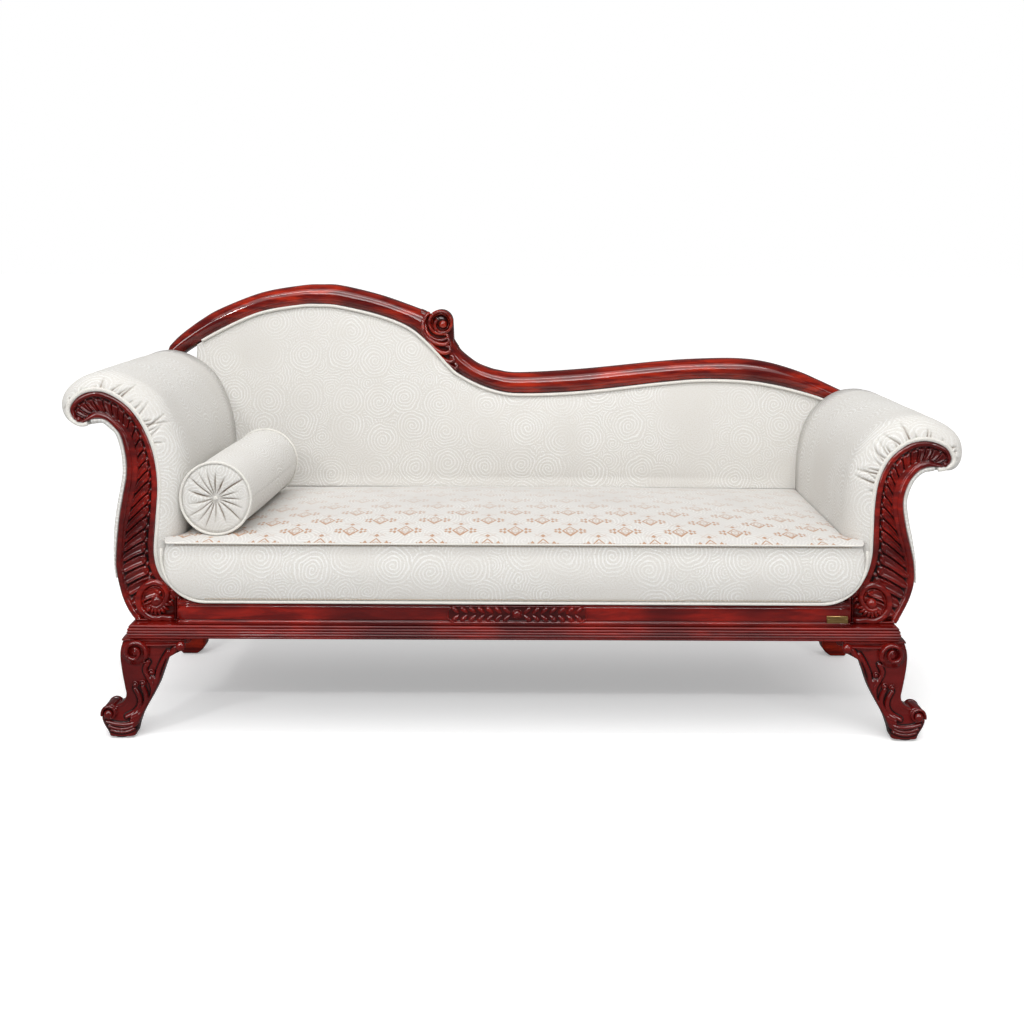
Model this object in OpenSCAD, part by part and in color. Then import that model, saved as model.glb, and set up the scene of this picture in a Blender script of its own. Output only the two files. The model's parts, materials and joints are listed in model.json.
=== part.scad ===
// Fainting couch with a tall scrolled head end, a lower foot end and a raised back
// X runs along the couch, Y from front to back, Z up; it stands on Z = 0

/* [Base] */
// Length of the reeded plinth along the front
plinth_len = 1760; // [1500:10:1900]
// Height of the reeded plinth
plinth_h = 31; // [24:1:40]
// Width of the plinth members seen from below
plinth_w = 60; // [50:1:80]
// How far the plinth stands forward of the arm facings
plinth_out = 35; // [30:1:50]
// Number of reeds on the plinth
reeds = 5; // [3:1:7]
// How far the plinth reaches back behind the seat (mm)
base_behind = 63; // [40:1:90]
// Height of the rails above the plinth
rail_h = 55; // [40:1:70]
// Thickness of the seat rails
rail_t = 45; // [30:1:55]
// Length of the front rail between the arm facings
rail_len = 1530; // [1300:10:1600]
// How far the front rail stands forward of the arm facings
rail_out = 28; // [10:1:30]

/* [Legs] */
// Height of the legs under the plinth
leg_h = 229; // [160:1:280]
// Spread of a leg from its inner knob to its toe
leg_w = 196; // [150:1:230]
// Thickness of a leg from front to back
leg_t = 52; // [36:1:60]
// Distance from the middle of the couch to the inner side of a leg
leg_in = 747; // [600:1:760]
// Thickness of the glides under the feet
glide_t = 3; // [2:0.5:6]

/* [Arms] */
// Rise of the head end's wooden scroll above the plinth
head_rise = 528; // [440:1:620]
// Reach of the head end's wooden scroll past the front rail
head_reach = 260; // [220:1:300]
// Rise of the foot end's wooden scroll above the plinth
foot_rise = 420; // [340:1:500]
// Reach of the foot end's wooden scroll past the front rail
foot_reach = 241; // [200:1:280]
// Thickness of the arm facings and rear boards
board_t = 26; // [20:1:36]
// Width of the moulded rim round a facing
rim_w = 9; // [6:0.5:12]
// Depth of the carved field behind the rim
rim_h = 8; // [5:0.5:12]
// Carved lobes on the head end's facing
head_lobes = 26; // [12:1:32]
// Carved lobes on the foot end's facing
foot_lobes = 21; // [10:1:28]
// Thickness of the padding inside and over the arms
arm_pad_t = 57; // [30:1:70]
// Thickness of the padding at the tip of the head end's roll
head_tip_t = 28; // [15:1:40]
// Thickness of the padding at the tip of the foot end's roll
foot_tip_t = 38; // [15:1:45]
// Thickness of the padding on the outside of the arms
arm_out_t = 10; // [6:1:20]

/* [Seat] */
// Height of the seat's top edge
seat_z = 450; // [400:1:500]
// Height of the seat's crown above its edge
seat_crown = 31; // [10:1:60]
// How far the seat rises from its front edge to the back
seat_slope = 8; // [0:1:15]
// Distance from the arm facings to the foot of the back
seat_depth = 520; // [440:1:560]
// Length of the seat's front border
seat_len = 1630; // [1400:10:1660]
// How far the front border swells ahead of the rail
border_bulge = 17; // [5:1:25]
// Diameter of the piping
welt_d = 9; // [6:0.5:12]
// Thickness of the webbing
web_t = 2; // [1:0.5:4]

/* [Back] */
// Height of the top of the back
crest_z = 1010; // [900:1:1100]
// Depth of the crest rail from front to back
crest_t = 66; // [50:1:80]
// Lean of the back from upright
rake = 6; // [2:0.5:12]
// Thickness of the back padding
back_pad_t = 42; // [30:1:60]
// Crown of the back padding
back_crown = 14; // [5:1:30]
// Thickness of the back posts
post_t = 26; // [20:1:36]
// Width of the back posts
post_w = 44; // [30:1:60]
// Thickness of the outside back panel
panel_t = 2.4; // [2:0.2:5]

/* [Bolster] */
// Diameter of the bolster
bolster_d = 164; // [120:1:200]
// Length of the bolster
bolster_len = 400; // [300:1:460]
// Height of the bolster's axis at its front end
bolster_z = 546.5; // [500:0.5:620]
// Distance from the middle of the couch to the bolster's front end
bolster_x = 684; // [600:1:700]
// Turn of the bolster towards the middle of the couch
bolster_turn = 5; // [0:0.5:10]
// Tilt of the bolster up towards the back
bolster_tilt = 1.8; // [0:0.1:3]
// Distance from the arm facings to the bolster's front end
bolster_y = 5; // [0:1:80]

/* [Hidden] */
wood = [0.42, 0.10, 0.06];
raw_wood = [0.72, 0.55, 0.36];
damask = [0.85, 0.83, 0.78];
brocade = [0.84, 0.80, 0.72];
steel = [0.62, 0.63, 0.65];
webbing_tone = [0.66, 0.56, 0.40];
black_cloth = [0.10, 0.10, 0.10];
fit = 0.3;
overrun = 1;
round_fn = 40;
welt_sides = 8;
welt_r = welt_d/2;

rail_z = leg_h + plinth_h;
base_depth = seat_depth + base_behind;
rail_top = rail_z + rail_h;
rail_half = rail_len/2;
plinth_half = plinth_len/2;
lean = tan(rake);
middle_x = (foot_tip_t + foot_reach - head_tip_t - head_reach)/2;
back_z = seat_z + seat_slope;
back_reach = seat_depth + crest_t + lean*(crest_z - back_z);
front_reach = rail_out + border_bulge;
middle_y = (back_reach - front_reach)/2;

// Smooth line through hand-chosen points
function bend(a, b, c, d, t) =
    ((2*b) + (c - a)*t + (2*a - 5*b + 4*c - d)*t*t + (3*b - a - 3*c + d)*t*t*t)/2;
function smooth(p, n) = let(last = len(p) - 1)
    concat([for (i = [0:last - 1]) for (k = [0:n - 1])
        bend(p[max(i - 1, 0)], p[i], p[i + 1], p[min(i + 2, last)], k/n)], [p[last]]);
// Direction square to a line at one of its points, on its left
function square_to(p, i) = let(a = p[max(i - 1, 0)], b = p[min(i + 1, len(p) - 1)], d = b - a)
    [-d[1], d[0]]/norm(d);
function grown(p, t) = [for (i = [0:len(p) - 1]) p[i] + t*square_to(p, i)];
function placed(shares, w, h, x, z) = [for (s = shares) [x + s[0]*w, z + s[1]*h]];
function reversed(p) = [for (i = [len(p) - 1:-1:0]) p[i]];
function mixed(a, b, t) = a + (b - a)*t;
function eased(t) = let(c = min(max(t, 0), 1)) c*c*(3 - 2*c);
function along(p, t) = let(s = t*(len(p) - 1), i = min(floor(s), len(p) - 2))
    mixed(p[i], p[i + 1], s - i);

// Solid through a row of rings that all have the same number of points;
// a strip's ring runs out along one side and back along the other
module loft(rings, flip = false, strip = false) {
    m = len(rings[0]);
    n = len(rings);
    sides = [for (i = [0:n - 2]) for (j = [0:m - 1]) for (f = [0, 1])
        let(k = (j + 1)%m, a = i*m + j, b = i*m + k, c = a + m, d = b + m)
        f == 0 ? [a, b, d] : [a, d, c]];
    last = (n - 1)*m;
    ends = strip
        ? [for (j = [0:m/2 - 2]) for (f = [0:3]) let(a = j, b = j + 1, c = m - 2 - j, d = m - 1 - j)
            f == 0 ? [c, b, a] : f == 1 ? [d, c, a]
            : f == 2 ? [last + a, last + b, last + c] : [last + a, last + c, last + d]]
        : [[for (j = [m - 1:-1:0]) j], [for (j = [0:m - 1]) last + j]];
    faces = concat(sides, ends);
    polyhedron([for (r = rings) for (p = r) p],
        flip ? [for (f = faces) reversed(f)] : faces, convexity = 6);
}
// Round cord along a line, kept level with a fixed direction
function tangent(p, i) = let(d = p[min(i + 1, len(p) - 1)] - p[max(i - 1, 0)]) d/norm(d);
function cord_rings(p, r, hint) = [for (i = [0:len(p) - 1])
    let(t = tangent(p, i), a = cross(t, hint)/norm(cross(t, hint)), b = cross(a, t))
    [for (k = [0:welt_sides - 1]) let(w = 360*k/welt_sides)
        p[i] + r*(cos(w)*a + sin(w)*b)]];
// Upright plate between two depths
module plate(y0, y1) {
    translate([0, y1, 0]) rotate([90, 0, 0]) linear_extrude(y1 - y0) children();
}
// Round bar with a taper, lying half sunk in an upright face
module tapered_bar(p, q, y, r0, r1) {
    d = q - p;
    translate([p[0], y, p[1]]) rotate([0, 90 - atan2(d[1], d[0]), 0])
        cylinder(r1 = r0, r2 = r1, h = norm(d), $fn = round_fn);
}
// Plate that leans with the back, between two distances behind its front surface
function back_y(z) = seat_depth + lean*(z - back_z);
module leaning(outline, off0, off1) {
    loft([[for (p = outline) [p[0], back_y(p[1]) + off0, p[1]]],
        [for (p = outline) [p[0], back_y(p[1]) + off1, p[1]]]]);
}
module placed_in_frame() { translate([-middle_x, -middle_y, 0]) children(); }

// Plinth: a reeded moulding, mitred at the corners
reed_h = plinth_h/reeds;
reed_out_share = 0.5;
plinth_swell = 5;
reed_steps = 5;
function reed_depth(z) = plinth_swell*(1 - pow(2*z/plinth_h - 1, 2));
function reed_points() = [for (r = [0:reeds - 1]) for (k = [0:reed_steps])
    let(a = 180*k/reed_steps, z = r*reed_h + reed_h*(1 - cos(a))/2)
    [reed_depth(r*reed_h + reed_h/2) + reed_h*reed_out_share*sin(a), z]];
plinth_body_w = plinth_w - plinth_swell - reed_h*reed_out_share;
module plinth_section() {
    polygon(concat([[-plinth_body_w, 0]], reed_points(), [[-plinth_body_w, plinth_h]]));
}
plinth_edge_x = plinth_half - plinth_w + plinth_body_w;
plinth_edge_front = plinth_out - plinth_w + plinth_body_w;
plinth_edge_back = base_depth - plinth_w + plinth_body_w;
plinth_mid_y = (plinth_edge_back - plinth_edge_front)/2;
plinth_half_y = (plinth_edge_back + plinth_edge_front)/2;
// One side of the plinth: its own length, then how far out its face lies
module plinth_side(half, out) {
    reach = plinth_w;
    intersection() {
        translate([-half - reach, -out, leg_h]) rotate([90, 0, 90])
            linear_extrude(2*(half + reach)) mirror([1, 0, 0]) plinth_section();
        translate([0, -out, leg_h - overrun]) linear_extrude(plinth_h + 2*overrun)
            polygon([[-half - reach, -reach], [half + reach, -reach],
                [half - plinth_body_w, plinth_body_w], [-half + plinth_body_w, plinth_body_w]]);
    }
}
module plinth_turned(turn, half, out) {
    color(wood) placed_in_frame() translate([0, plinth_mid_y, 0]) rotate([0, 0, turn])
        difference() {
            plinth_side(half, out);
            rotate([0, 0, -turn]) translate([0, -plinth_mid_y, 0]) bolt_holes();
        }
}
module plinth_front() { plinth_turned(0, plinth_edge_x, plinth_half_y); }
module plinth_back() { plinth_turned(180, plinth_edge_x, plinth_half_y); }
module plinth_left() { plinth_turned(-90, plinth_half_y, plinth_edge_x); }
module plinth_right() { plinth_turned(90, plinth_half_y, plinth_edge_x); }

// Seat rails on the plinth
bead_h = 5;
bead_out = 2;
back_rail_y = base_depth - (plinth_out - rail_out);
apron_t = 20;
foot_base_share = 0.485;
head_base_share = 0.408;
head_base = rail_half + head_base_share*head_reach;
foot_base = rail_half + foot_base_share*foot_reach;
module front_rail() {
    color(wood) placed_in_frame() {
        translate([-rail_half, -rail_out + bead_out, rail_z])
            cube([rail_len, rail_t - bead_out, rail_h]);
        for (z = [rail_z, rail_top - bead_h])
            translate([-rail_half, -rail_out, z]) cube([rail_len, bead_out + overrun, bead_h]);
    }
}
module back_rail() {
    color(raw_wood) placed_in_frame()
        translate([-head_base + apron_t, back_rail_y - rail_t, rail_z])
            cube([head_base + foot_base - 2*apron_t, rail_t, rail_h]);
}
module end_rail(outer) {
    translate([outer - rail_t, board_t, rail_z])
        cube([rail_t, back_rail_y - rail_t - board_t, rail_h + web_t]);
}
module end_rail_left() {
    color(raw_wood) placed_in_frame() mirror([1, 0, 0]) end_rail(head_base - apron_t);
}
module end_rail_right() { color(raw_wood) placed_in_frame() end_rail(foot_base - apron_t); }
bearer_shares = [-0.33, 0.33];
bearer_t = 40;
bearer_drop = 8;
module seat_bearers() {
    color(raw_wood) placed_in_frame() for (s = bearer_shares)
        translate([s*rail_len - bearer_t/2, rail_t - rail_out, rail_z])
            cube([bearer_t, back_rail_y - 2*rail_t + rail_out, rail_h - bearer_drop]);
}

// Carved panel in the middle of the front rail
carving_len = 319;
carving_gap = 3;
carving_h = rail_h - 2*bead_h - 2*carving_gap;
carving_t = 2.5;
carving_leaves = 9;
carving_ball = 7;
leaf_t = 3;
module rail_carving() {
    mid_z = rail_z + rail_h/2;
    end_x = carving_len/2 - carving_h/2;
    pitch = (end_x - carving_ball)/carving_leaves;
    face = -rail_out + bead_out;
    color(wood) placed_in_frame() translate([0, 0, mid_z]) {
        plate(face - carving_t, face) union() {
            square([2*end_x, carving_h], center = true);
            for (s = [-1, 1]) translate([s*end_x, 0]) circle(d = carving_h, $fn = round_fn);
        }
        for (s = [-1, 1]) for (k = [0:carving_leaves - 1]) let(x = carving_ball + k*pitch)
            plate(face - carving_t - leaf_t, face - carving_t + overrun)
                scale([s, 1]) polygon([[x, 0], [x + pitch*leaf_tip_share, carving_h*leaf_reach_share],
                    [x + pitch, carving_h*leaf_back_share], [x + pitch*leaf_root_share, 0],
                    [x + pitch, -carving_h*leaf_back_share],
                    [x + pitch*leaf_tip_share, -carving_h*leaf_reach_share]]);
        intersection() {
            translate([0, face - carving_t, 0]) sphere(r = carving_ball, $fn = round_fn);
            plate(face - 2*carving_ball, face - fit) circle(r = 2*carving_ball);
        }
    }
}
leaf_tip_share = 0.55;
leaf_reach_share = 0.42;
leaf_back_share = 0.34;
leaf_root_share = 0.8;

// Corner blocks glued and screwed in the corners of the seat frame
block_h = 40;
block_len = 90;
screw_head_d = 10;
screw_head_t = 3;
module corner_block(outer, rear) {
    inner = outer - rail_t;
    y0 = rear ? back_rail_y - rail_t : rail_t - rail_out;
    translate([0, 0, rail_z]) linear_extrude(block_h)
        polygon(rear ? [[inner - block_len, y0], [inner, y0], [inner, y0 - block_len]]
            : [[rail_half - block_len, y0], [rail_half, y0], [rail_half, board_t],
                [inner, board_t], [inner, board_t + block_len]]);
}
module corner_blocks() {
    color(raw_wood) placed_in_frame() for (rear = [false, true]) {
        mirror([1, 0, 0]) corner_block(head_base - apron_t, rear);
        corner_block(foot_base - apron_t, rear);
    }
}
screw_places_share = [0.3, 0.7];
module block_screws(outer, rear) {
    inner = outer - rail_t;
    y0 = rear ? back_rail_y - rail_t : board_t;
    for (s = screw_places_share)
        translate([inner - s*block_len*screw_run_share, rear ? y0 - block_len*screw_run_share*(1 - s)
            : y0 + block_len*screw_run_share*(1 - s), rail_z + block_h])
            cylinder(d = screw_head_d, h = screw_head_t, $fn = round_fn);
}
screw_run_share = 0.7;
module corner_screws() {
    color(steel) placed_in_frame() for (rear = [false, true]) {
        mirror([1, 0, 0]) block_screws(head_base - apron_t, rear);
        block_screws(foot_base - apron_t, rear);
    }
}

// Legs: an S-curved bracket with a volute above and a curled toe below
leg_outer_shares = [[0.74, 0.98], [0.76, 0.93], [0.778, 0.86], [0.775, 0.76], [0.75, 0.62],
    [0.72, 0.49], [0.706, 0.42], [0.74, 0.35], [0.84, 0.315]];
leg_toe_shares = [[0.99, 0.21], [0.965, 0.12], [0.91, 0.05], [0.88, 0.013]];
leg_inner_shares = [[0.64, 0.013], [0.575, 0.07], [0.55, 0.16], [0.49, 0.25], [0.41, 0.38],
    [0.325, 0.53], [0.26, 0.69], [0.2, 0.81], [0.15, 0.845]];
leg_spiral_w = 6.75;
leg_volute_share = [0.592, 0.815];
leg_toe_share = [0.905, 0.217];
leg_knob_share = [0.057, 0.89];
leg_steps = 4;
leg_volute_r = 27;
leg_toe_r = 18;
leg_knob_r = 11;
leg_ball_r = 9;
leg_detail_t = 4;
bolt_d = 8;
bolt_len = 62;
bolt_shares = [0.3, 0.62];
leg_back_in = 4;
front_leg_y = -plinth_out + (plinth_w - leg_t)/2 + leg_back_in;
back_leg_y = base_depth - (plinth_w + leg_t)/2 - leg_back_in;
function leg_at(s) = [leg_in + s[0]*leg_w, glide_t + s[1]*(leg_h - glide_t)];
module leg_outline() {
    outer = smooth([for (s = leg_outer_shares) leg_at(s)], leg_steps);
    toe = smooth([for (s = leg_toe_shares) leg_at(s)], leg_steps);
    inner = smooth([for (s = leg_inner_shares) leg_at(s)], leg_steps);
    knob = leg_at(leg_knob_share);
    polygon(concat([[outer[0][0], leg_h]], outer, toe, [[toe[len(toe) - 1][0], glide_t],
        [inner[0][0], glide_t]], inner, [knob, [knob[0], leg_h]]));
    translate(knob) circle(r = leg_knob_r, $fn = round_fn);
    translate(leg_at(leg_toe_share)) circle(r = leg_toe_r, $fn = round_fn);
}
// Raised spiral band that winds in to its middle
spiral_turns = 1.6;
spiral_steps = 36;
spiral_in_share = 0.32;
function spiral_r(r, t) = r*(1 - (1 - spiral_in_share)*t);
module spiral(r, w, hand = 1) {
    outer = [for (k = [0:spiral_steps]) let(t = k/spiral_steps, a = 90 - hand*360*spiral_turns*t)
        spiral_r(r, t)*[cos(a), sin(a)]];
    inner = [for (k = [spiral_steps:-1:0]) let(t = k/spiral_steps, a = 90 - hand*360*spiral_turns*t)
        (spiral_r(r, t) - w*(1 - t/2))*[cos(a), sin(a)]];
    polygon(concat(outer, inner));
}
// Plain rear legs: outer edge down, then the inner edge up
rear_outer_shares = [[0.86, 1], [0.855, 0.65], [0.84, 0.25], [0.84, 0]];
rear_inner_shares = [[0.57, 0], [0.53, 0.03], [0.515, 0.08], [0.5, 0.3], [0.44, 0.6], [0.26, 0.85],
    [0.22, 1]];
module rear_outline() {
    polygon(concat(smooth([for (s = rear_outer_shares) leg_at(s)], leg_steps),
        smooth([for (s = rear_inner_shares) leg_at(s)], leg_steps)));
}
module rear_leg() {
    difference() {
        plate(back_leg_y, back_leg_y + leg_t) rear_outline();
        bolt_holes();
    }
}
// Carved leaves: foot of the leaf, then its tip
leaf_shares = [[[0.5, 0.72], [0.38, 0.6]], [[0.56, 0.66], [0.44, 0.46]], [[0.6, 0.58], [0.5, 0.34]],
    [[0.66, 0.6], [0.58, 0.3]], [[0.68, 0.42], [0.64, 0.22]], [[0.72, 0.28], [0.7, 0.12]]];
leaf_r = 7;
leaf_tip_r = 2.5;
module front_leg() {
    face = front_leg_y;
    difference() {
        union() {
            plate(face, face + leg_t) leg_outline();
            translate([leg_at(leg_volute_share)[0], 0, leg_at(leg_volute_share)[1]]) {
                plate(face - leg_detail_t, face)
                    spiral(leg_volute_r, leg_spiral_w, -1);
                translate([0, face, 0]) sphere(r = leg_ball_r, $fn = round_fn);
            }
            translate([leg_at(leg_toe_share)[0], face, leg_at(leg_toe_share)[1]])
                sphere(r = leg_ball_r, $fn = round_fn);
            for (s = leaf_shares) tapered_bar(leg_at(s[0]), leg_at(s[1]), face, leaf_r, leaf_tip_r);
        }
        bolt_holes();
    }
}
function bolt_places() = [for (side = [-1, 1]) for (y = [front_leg_y, back_leg_y])
    for (s = bolt_shares) [side*(leg_in + s*leg_w), y + leg_t/2]];
module bolt_holes() {
    for (p = bolt_places()) translate([p[0], p[1], leg_h - bolt_len*bolt_down_share - fit])
        cylinder(d = bolt_d + 2*fit, h = bolt_len + 2*fit, $fn = round_fn);
}
bolt_down_share = 0.6;
module leg_front_left() { color(wood) placed_in_frame() mirror([1, 0, 0]) front_leg(); }
module leg_front_right() { color(wood) placed_in_frame() front_leg(); }
module leg_back_left() { color(wood) placed_in_frame() mirror([1, 0, 0]) rear_leg(); }
module leg_back_right() { color(wood) placed_in_frame() rear_leg(); }
module leg_bolts() {
    color(steel) placed_in_frame() for (p = bolt_places())
        translate([p[0], p[1], leg_h - bolt_len*bolt_down_share])
            cylinder(d = bolt_d, h = bolt_len, $fn = round_fn);
}
glide_d = 36;
front_glide_share = 0.76;
rear_glide_share = 0.705;
module foot_glides() {
    color(steel) placed_in_frame() for (side = [-1, 1])
        for (row = [[front_leg_y, front_glide_share], [back_leg_y, rear_glide_share]])
            translate([side*(leg_in + row[1]*leg_w), row[0] + leg_t/2, 0])
                cylinder(d = glide_d, h = glide_t, $fn = round_fn);
}

// Arms: the wooden scroll's outline from the front rail over the roll and down the outside
head_in_shares = [[0, 0.108], [0.115, 0.152], [0.22, 0.225], [0.25, 0.33], [0.24, 0.483],
    [0.24, 0.636], [0.28, 0.758], [0.365, 0.854], [0.485, 0.932], [0.627, 0.979], [0.777, 1],
    [0.927, 0.975], [1, 0.922], [0.965, 0.879]];
head_out_shares = [[0.877, 0.862], [0.777, 0.88], [0.68, 0.871], [0.6, 0.835], [0.546, 0.797],
    [0.496, 0.7], [0.488, 0.623], [0.511, 0.553], [0.561, 0.43], [0.585, 0.309], [0.585, 0.222],
    [0.538, 0.117], [0.477, 0.047], [head_base_share, 0]];
foot_in_shares = [[0, 0.148], [0.133, 0.207], [0.207, 0.29], [0.253, 0.405], [0.257, 0.543],
    [0.278, 0.695], [0.332, 0.821], [0.448, 0.926], [0.61, 0.988], [0.734, 1], [0.859, 0.99],
    [0.971, 0.952], [1, 0.905], [0.983, 0.876]];
foot_out_shares = [[0.9, 0.857], [0.8, 0.857], [0.685, 0.831], [0.602, 0.771], [0.552, 0.69],
    [0.548, 0.619], [0.581, 0.505], [0.618, 0.417], [0.651, 0.317], [0.651, 0.224],
    [0.61, 0.138], [0.544, 0.06], [foot_base_share, 0]];
head_spine_shares = [[0.915, 0.919], [0.808, 0.941], [0.673, 0.93], [0.538, 0.884],
    [0.438, 0.814], [0.385, 0.729], [0.365, 0.625], [0.381, 0.521], [0.404, 0.417],
    [0.415, 0.322], [0.404, 0.237], [0.358, 0.17]];
foot_spine_shares = [[0.925, 0.917], [0.817, 0.929], [0.685, 0.917], [0.548, 0.869],
    [0.444, 0.786], [0.402, 0.69], [0.398, 0.595], [0.415, 0.5], [0.436, 0.405],
    [0.448, 0.31], [0.402, 0.219]];
arm_steps = 3;
function arm_line(shares, reach, rise) =
    smooth(placed(shares, reach, rise, rail_half, rail_z), arm_steps);
head_line = arm_line(concat(head_in_shares, head_out_shares), head_reach, head_rise);
foot_line = arm_line(concat(foot_in_shares, foot_out_shares), foot_reach, foot_rise);
head_spine = arm_line(head_spine_shares, head_reach, head_rise);
foot_spine = arm_line(foot_spine_shares, foot_reach, foot_rise);
lobe_small = 11;
lobe_big = 30;
lobe_slant = 32;
lobe_grow = 1.3;
lobe_fill_share = 0.34;
lobe_taper_share = 0.45;
rim_step_share = 0.25;
volute_out = 4;
volute_r = 37;
volute_w = 9;
volute_x = 59;
volute_z = 39;
volute_ball = 13;
function line_len(p) = len(p) < 2 ? 0
    : norm(p[1] - p[0]) + line_len([for (i = [1:len(p) - 1]) p[i]]);
module arm_outline(line, inset) {
    inner = inset > 0 ? grown(line, -inset) : line;
    base = [for (p = inner) if (p[1] > rail_z + inset) [max(p[0], rail_half + inset), p[1]]];
    polygon(concat([[rail_half + inset, rail_z + inset]], base,
        [[inner[len(inner) - 1][0], rail_z + inset]]));
}
module lobes(spine, n) {
    run = line_len(spine);
    for (k = [1:n - 1]) let(t = pow(k/n, lobe_grow), p = along(spine, t),
            q = along(spine, min(t + 1/n, 1)), a = atan2(q[1] - p[1], q[0] - p[0]) + 90 - lobe_slant,
            half = mixed(lobe_small, lobe_big, t), d = half*[cos(a), sin(a)],
            wide = run*lobe_grow/n*pow(k/n, lobe_grow - 1)*lobe_fill_share)
        tapered_bar(p - d, p + d, rim_h, wide*lobe_taper_share, wide);
}
module arm_facing(line, spine, n) {
    plate(rim_h, board_t) arm_outline(line, 0);
    plate(rim_h*rim_step_share, board_t) difference() {
        arm_outline(line, 0);
        arm_outline(line, rim_w);
    }
    plate(0, board_t) difference() {
        arm_outline(line, rim_w*rim_step_share);
        arm_outline(line, rim_w*(1 - rim_step_share));
    }
    lobes(spine, n);
    translate([rail_half + volute_x, 0, rail_z + volute_z]) {
        plate(-volute_out, rim_h + overrun) spiral(volute_r, volute_w, 1);
        translate([0, rim_h, 0]) sphere(r = volute_ball, $fn = round_fn);
    }
}
board_inset = 2;
module arm_back_board(line) {
    difference() {
        intersection() {
            translate([0, seat_depth, back_z]) rotate([-rake, 0, 0])
                translate([0, -seat_depth, -back_z])
                    plate(seat_depth - 2*fit - board_t, seat_depth - 2*fit) arm_outline(line, board_inset);
            translate([rail_half, 0, rail_top + web_t])
                cube([head_reach + foot_reach, seat_depth + back_z, head_rise + foot_rise]);
        }
        end_apron(line);
    }
}
// Wooden apron under the outside padding, seen from the front
apron_h = 86;
apron_from = 80;
module apron_section(line) {
    outer = [for (p = line) if (p[1] < rail_z + apron_h && p[0] > rail_half + apron_from) p];
    top = above(line, rail_z + apron_h);
    edge = concat([top[len(top) - 1]], outer);
    intersection() {
        polygon(concat(reversed(edge), [for (p = edge) [p[0] - apron_t, p[1]]]));
        translate([0, rail_z]) square([2*plinth_len, apron_h]);
    }
}
stretcher_d = 30;
head_stretcher_shares = [[0.8, 0.94], [0.38, 0.66], [0.41, 0.36]];
foot_stretcher_shares = [[0.82, 0.93], [0.41, 0.62], [0.43, 0.37]];
module arm_stretchers(shares, reach, rise) {
    for (p = placed(shares, reach, rise, rail_half, rail_z)) let(
            end = back_y(p[1] - stretcher_d/2) - 2*fit - board_t/cos(rake))
        translate([p[0], end, p[1]]) rotate([90, 0, 0])
            cylinder(d = stretcher_d, h = end - board_t, $fn = round_fn);
}
module arm_facing_left() {
    color(wood) placed_in_frame() mirror([1, 0, 0]) arm_facing(head_line, head_spine, head_lobes);
}
module arm_facing_right() {
    color(wood) placed_in_frame() arm_facing(foot_line, foot_spine, foot_lobes);
}
module arm_back_board_left() {
    color(raw_wood) placed_in_frame() mirror([1, 0, 0]) arm_back_board(head_line);
}
module arm_back_board_right() { color(raw_wood) placed_in_frame() arm_back_board(foot_line); }
module arm_stretchers_left() {
    color(raw_wood) placed_in_frame() mirror([1, 0, 0])
        arm_stretchers(head_stretcher_shares, head_reach, head_rise);
}
module arm_stretchers_right() {
    color(raw_wood) placed_in_frame()
        arm_stretchers(foot_stretcher_shares, foot_reach, foot_rise);
}
module end_apron(line) {
    difference() {
        plate(board_t, back_rail_y) apron_section(line);
        translate([0, back_y(rail_top) + back_pad_t - 2*fit, rail_top])
            cube([2*plinth_len, base_depth, apron_h]);
    }
}
module end_apron_left() { color(wood) placed_in_frame() mirror([1, 0, 0]) end_apron(head_line); }
module end_apron_right() { color(wood) placed_in_frame() end_apron(foot_line); }

// Arm padding: wraps the boards and rounds down to the facing
pad_angles = [6, 25, 45, 65, 90];
pad_round = 57;
pad_first = 1;
pad_split = 40;
pad_row_shares = [0.4, 0.7];
tip_from_share = 0.62;
tip_run_share = 0.25;
thin_from_share = 0.88;
head_pad_line = [for (i = [2:pad_split + 3]) head_line[i]];
foot_pad_line = [for (i = [2:pad_split + 3]) foot_line[i]];
function pad_thick(q, tip) = mixed(mixed(arm_pad_t, tip, eased((q - tip_from_share)/tip_run_share)),
    arm_out_t, eased((q - thin_from_share)/(1 - thin_from_share)));
// A row over the depth is [y], or [0, off] where it follows the back's front surface
function row_y(row, z, least) = len(row) < 2 ? row[0] : max(back_y(z), least) + row[1];
function pad_ring(line, tip, row, share) = let(last = len(line) - 1) concat(
    [for (i = [0:last]) let(p = line[i] + (fit + pad_first + share*pad_thick(i/last, tip))
        *square_to(line, i)) [p[0], row_y(row, p[1], 0), p[1]]],
    [for (i = [last:-1:0]) let(p = line[i] + fit*square_to(line, i))
        [p[0], row_y(row, p[1], 0), p[1]]]);
module arm_pad(line, tip) {
    loft(concat([for (a = pad_angles) pad_ring(line, tip, [pad_round*(1 - cos(a))], sin(a))],
        [for (s = pad_row_shares) pad_ring(line, tip, [seat_depth*s], 1)],
        [pad_ring(line, tip, [0, -2*fit], 1)]), true, true);
}
module arm_pad_left() {
    color(damask) placed_in_frame() mirror([1, 0, 0]) arm_pad(head_pad_line, head_tip_t);
}
module arm_pad_right() { color(damask) placed_in_frame() arm_pad(foot_pad_line, foot_tip_t); }
out_round = 20;
return_x = 125;
return_out = 165;
out_low = rail_z + apron_h + fit;
function out_ring(line, row, share, return) = let(last = len(line) - 1) concat(
    [for (i = [0:last]) let(p = line[i] + (fit + pad_first + share*arm_out_t)*square_to(line, i))
        [return ? min(p[0], rail_half + return_out + arm_out_t) : p[0], row_y(row, p[1], seat_depth),
            max(p[1], out_low)]],
    [for (i = [last:-1:0]) let(p = line[i] + fit*square_to(line, i))
        [return ? min(p[0], rail_half + return_x) : p[0], row_y(row, p[1], seat_depth),
            max(p[1], out_low)]]);
function above(line, z) = [for (i = [pad_split + 4:len(line) - 1]) if (line[i][1] > z) line[i]];
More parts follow.
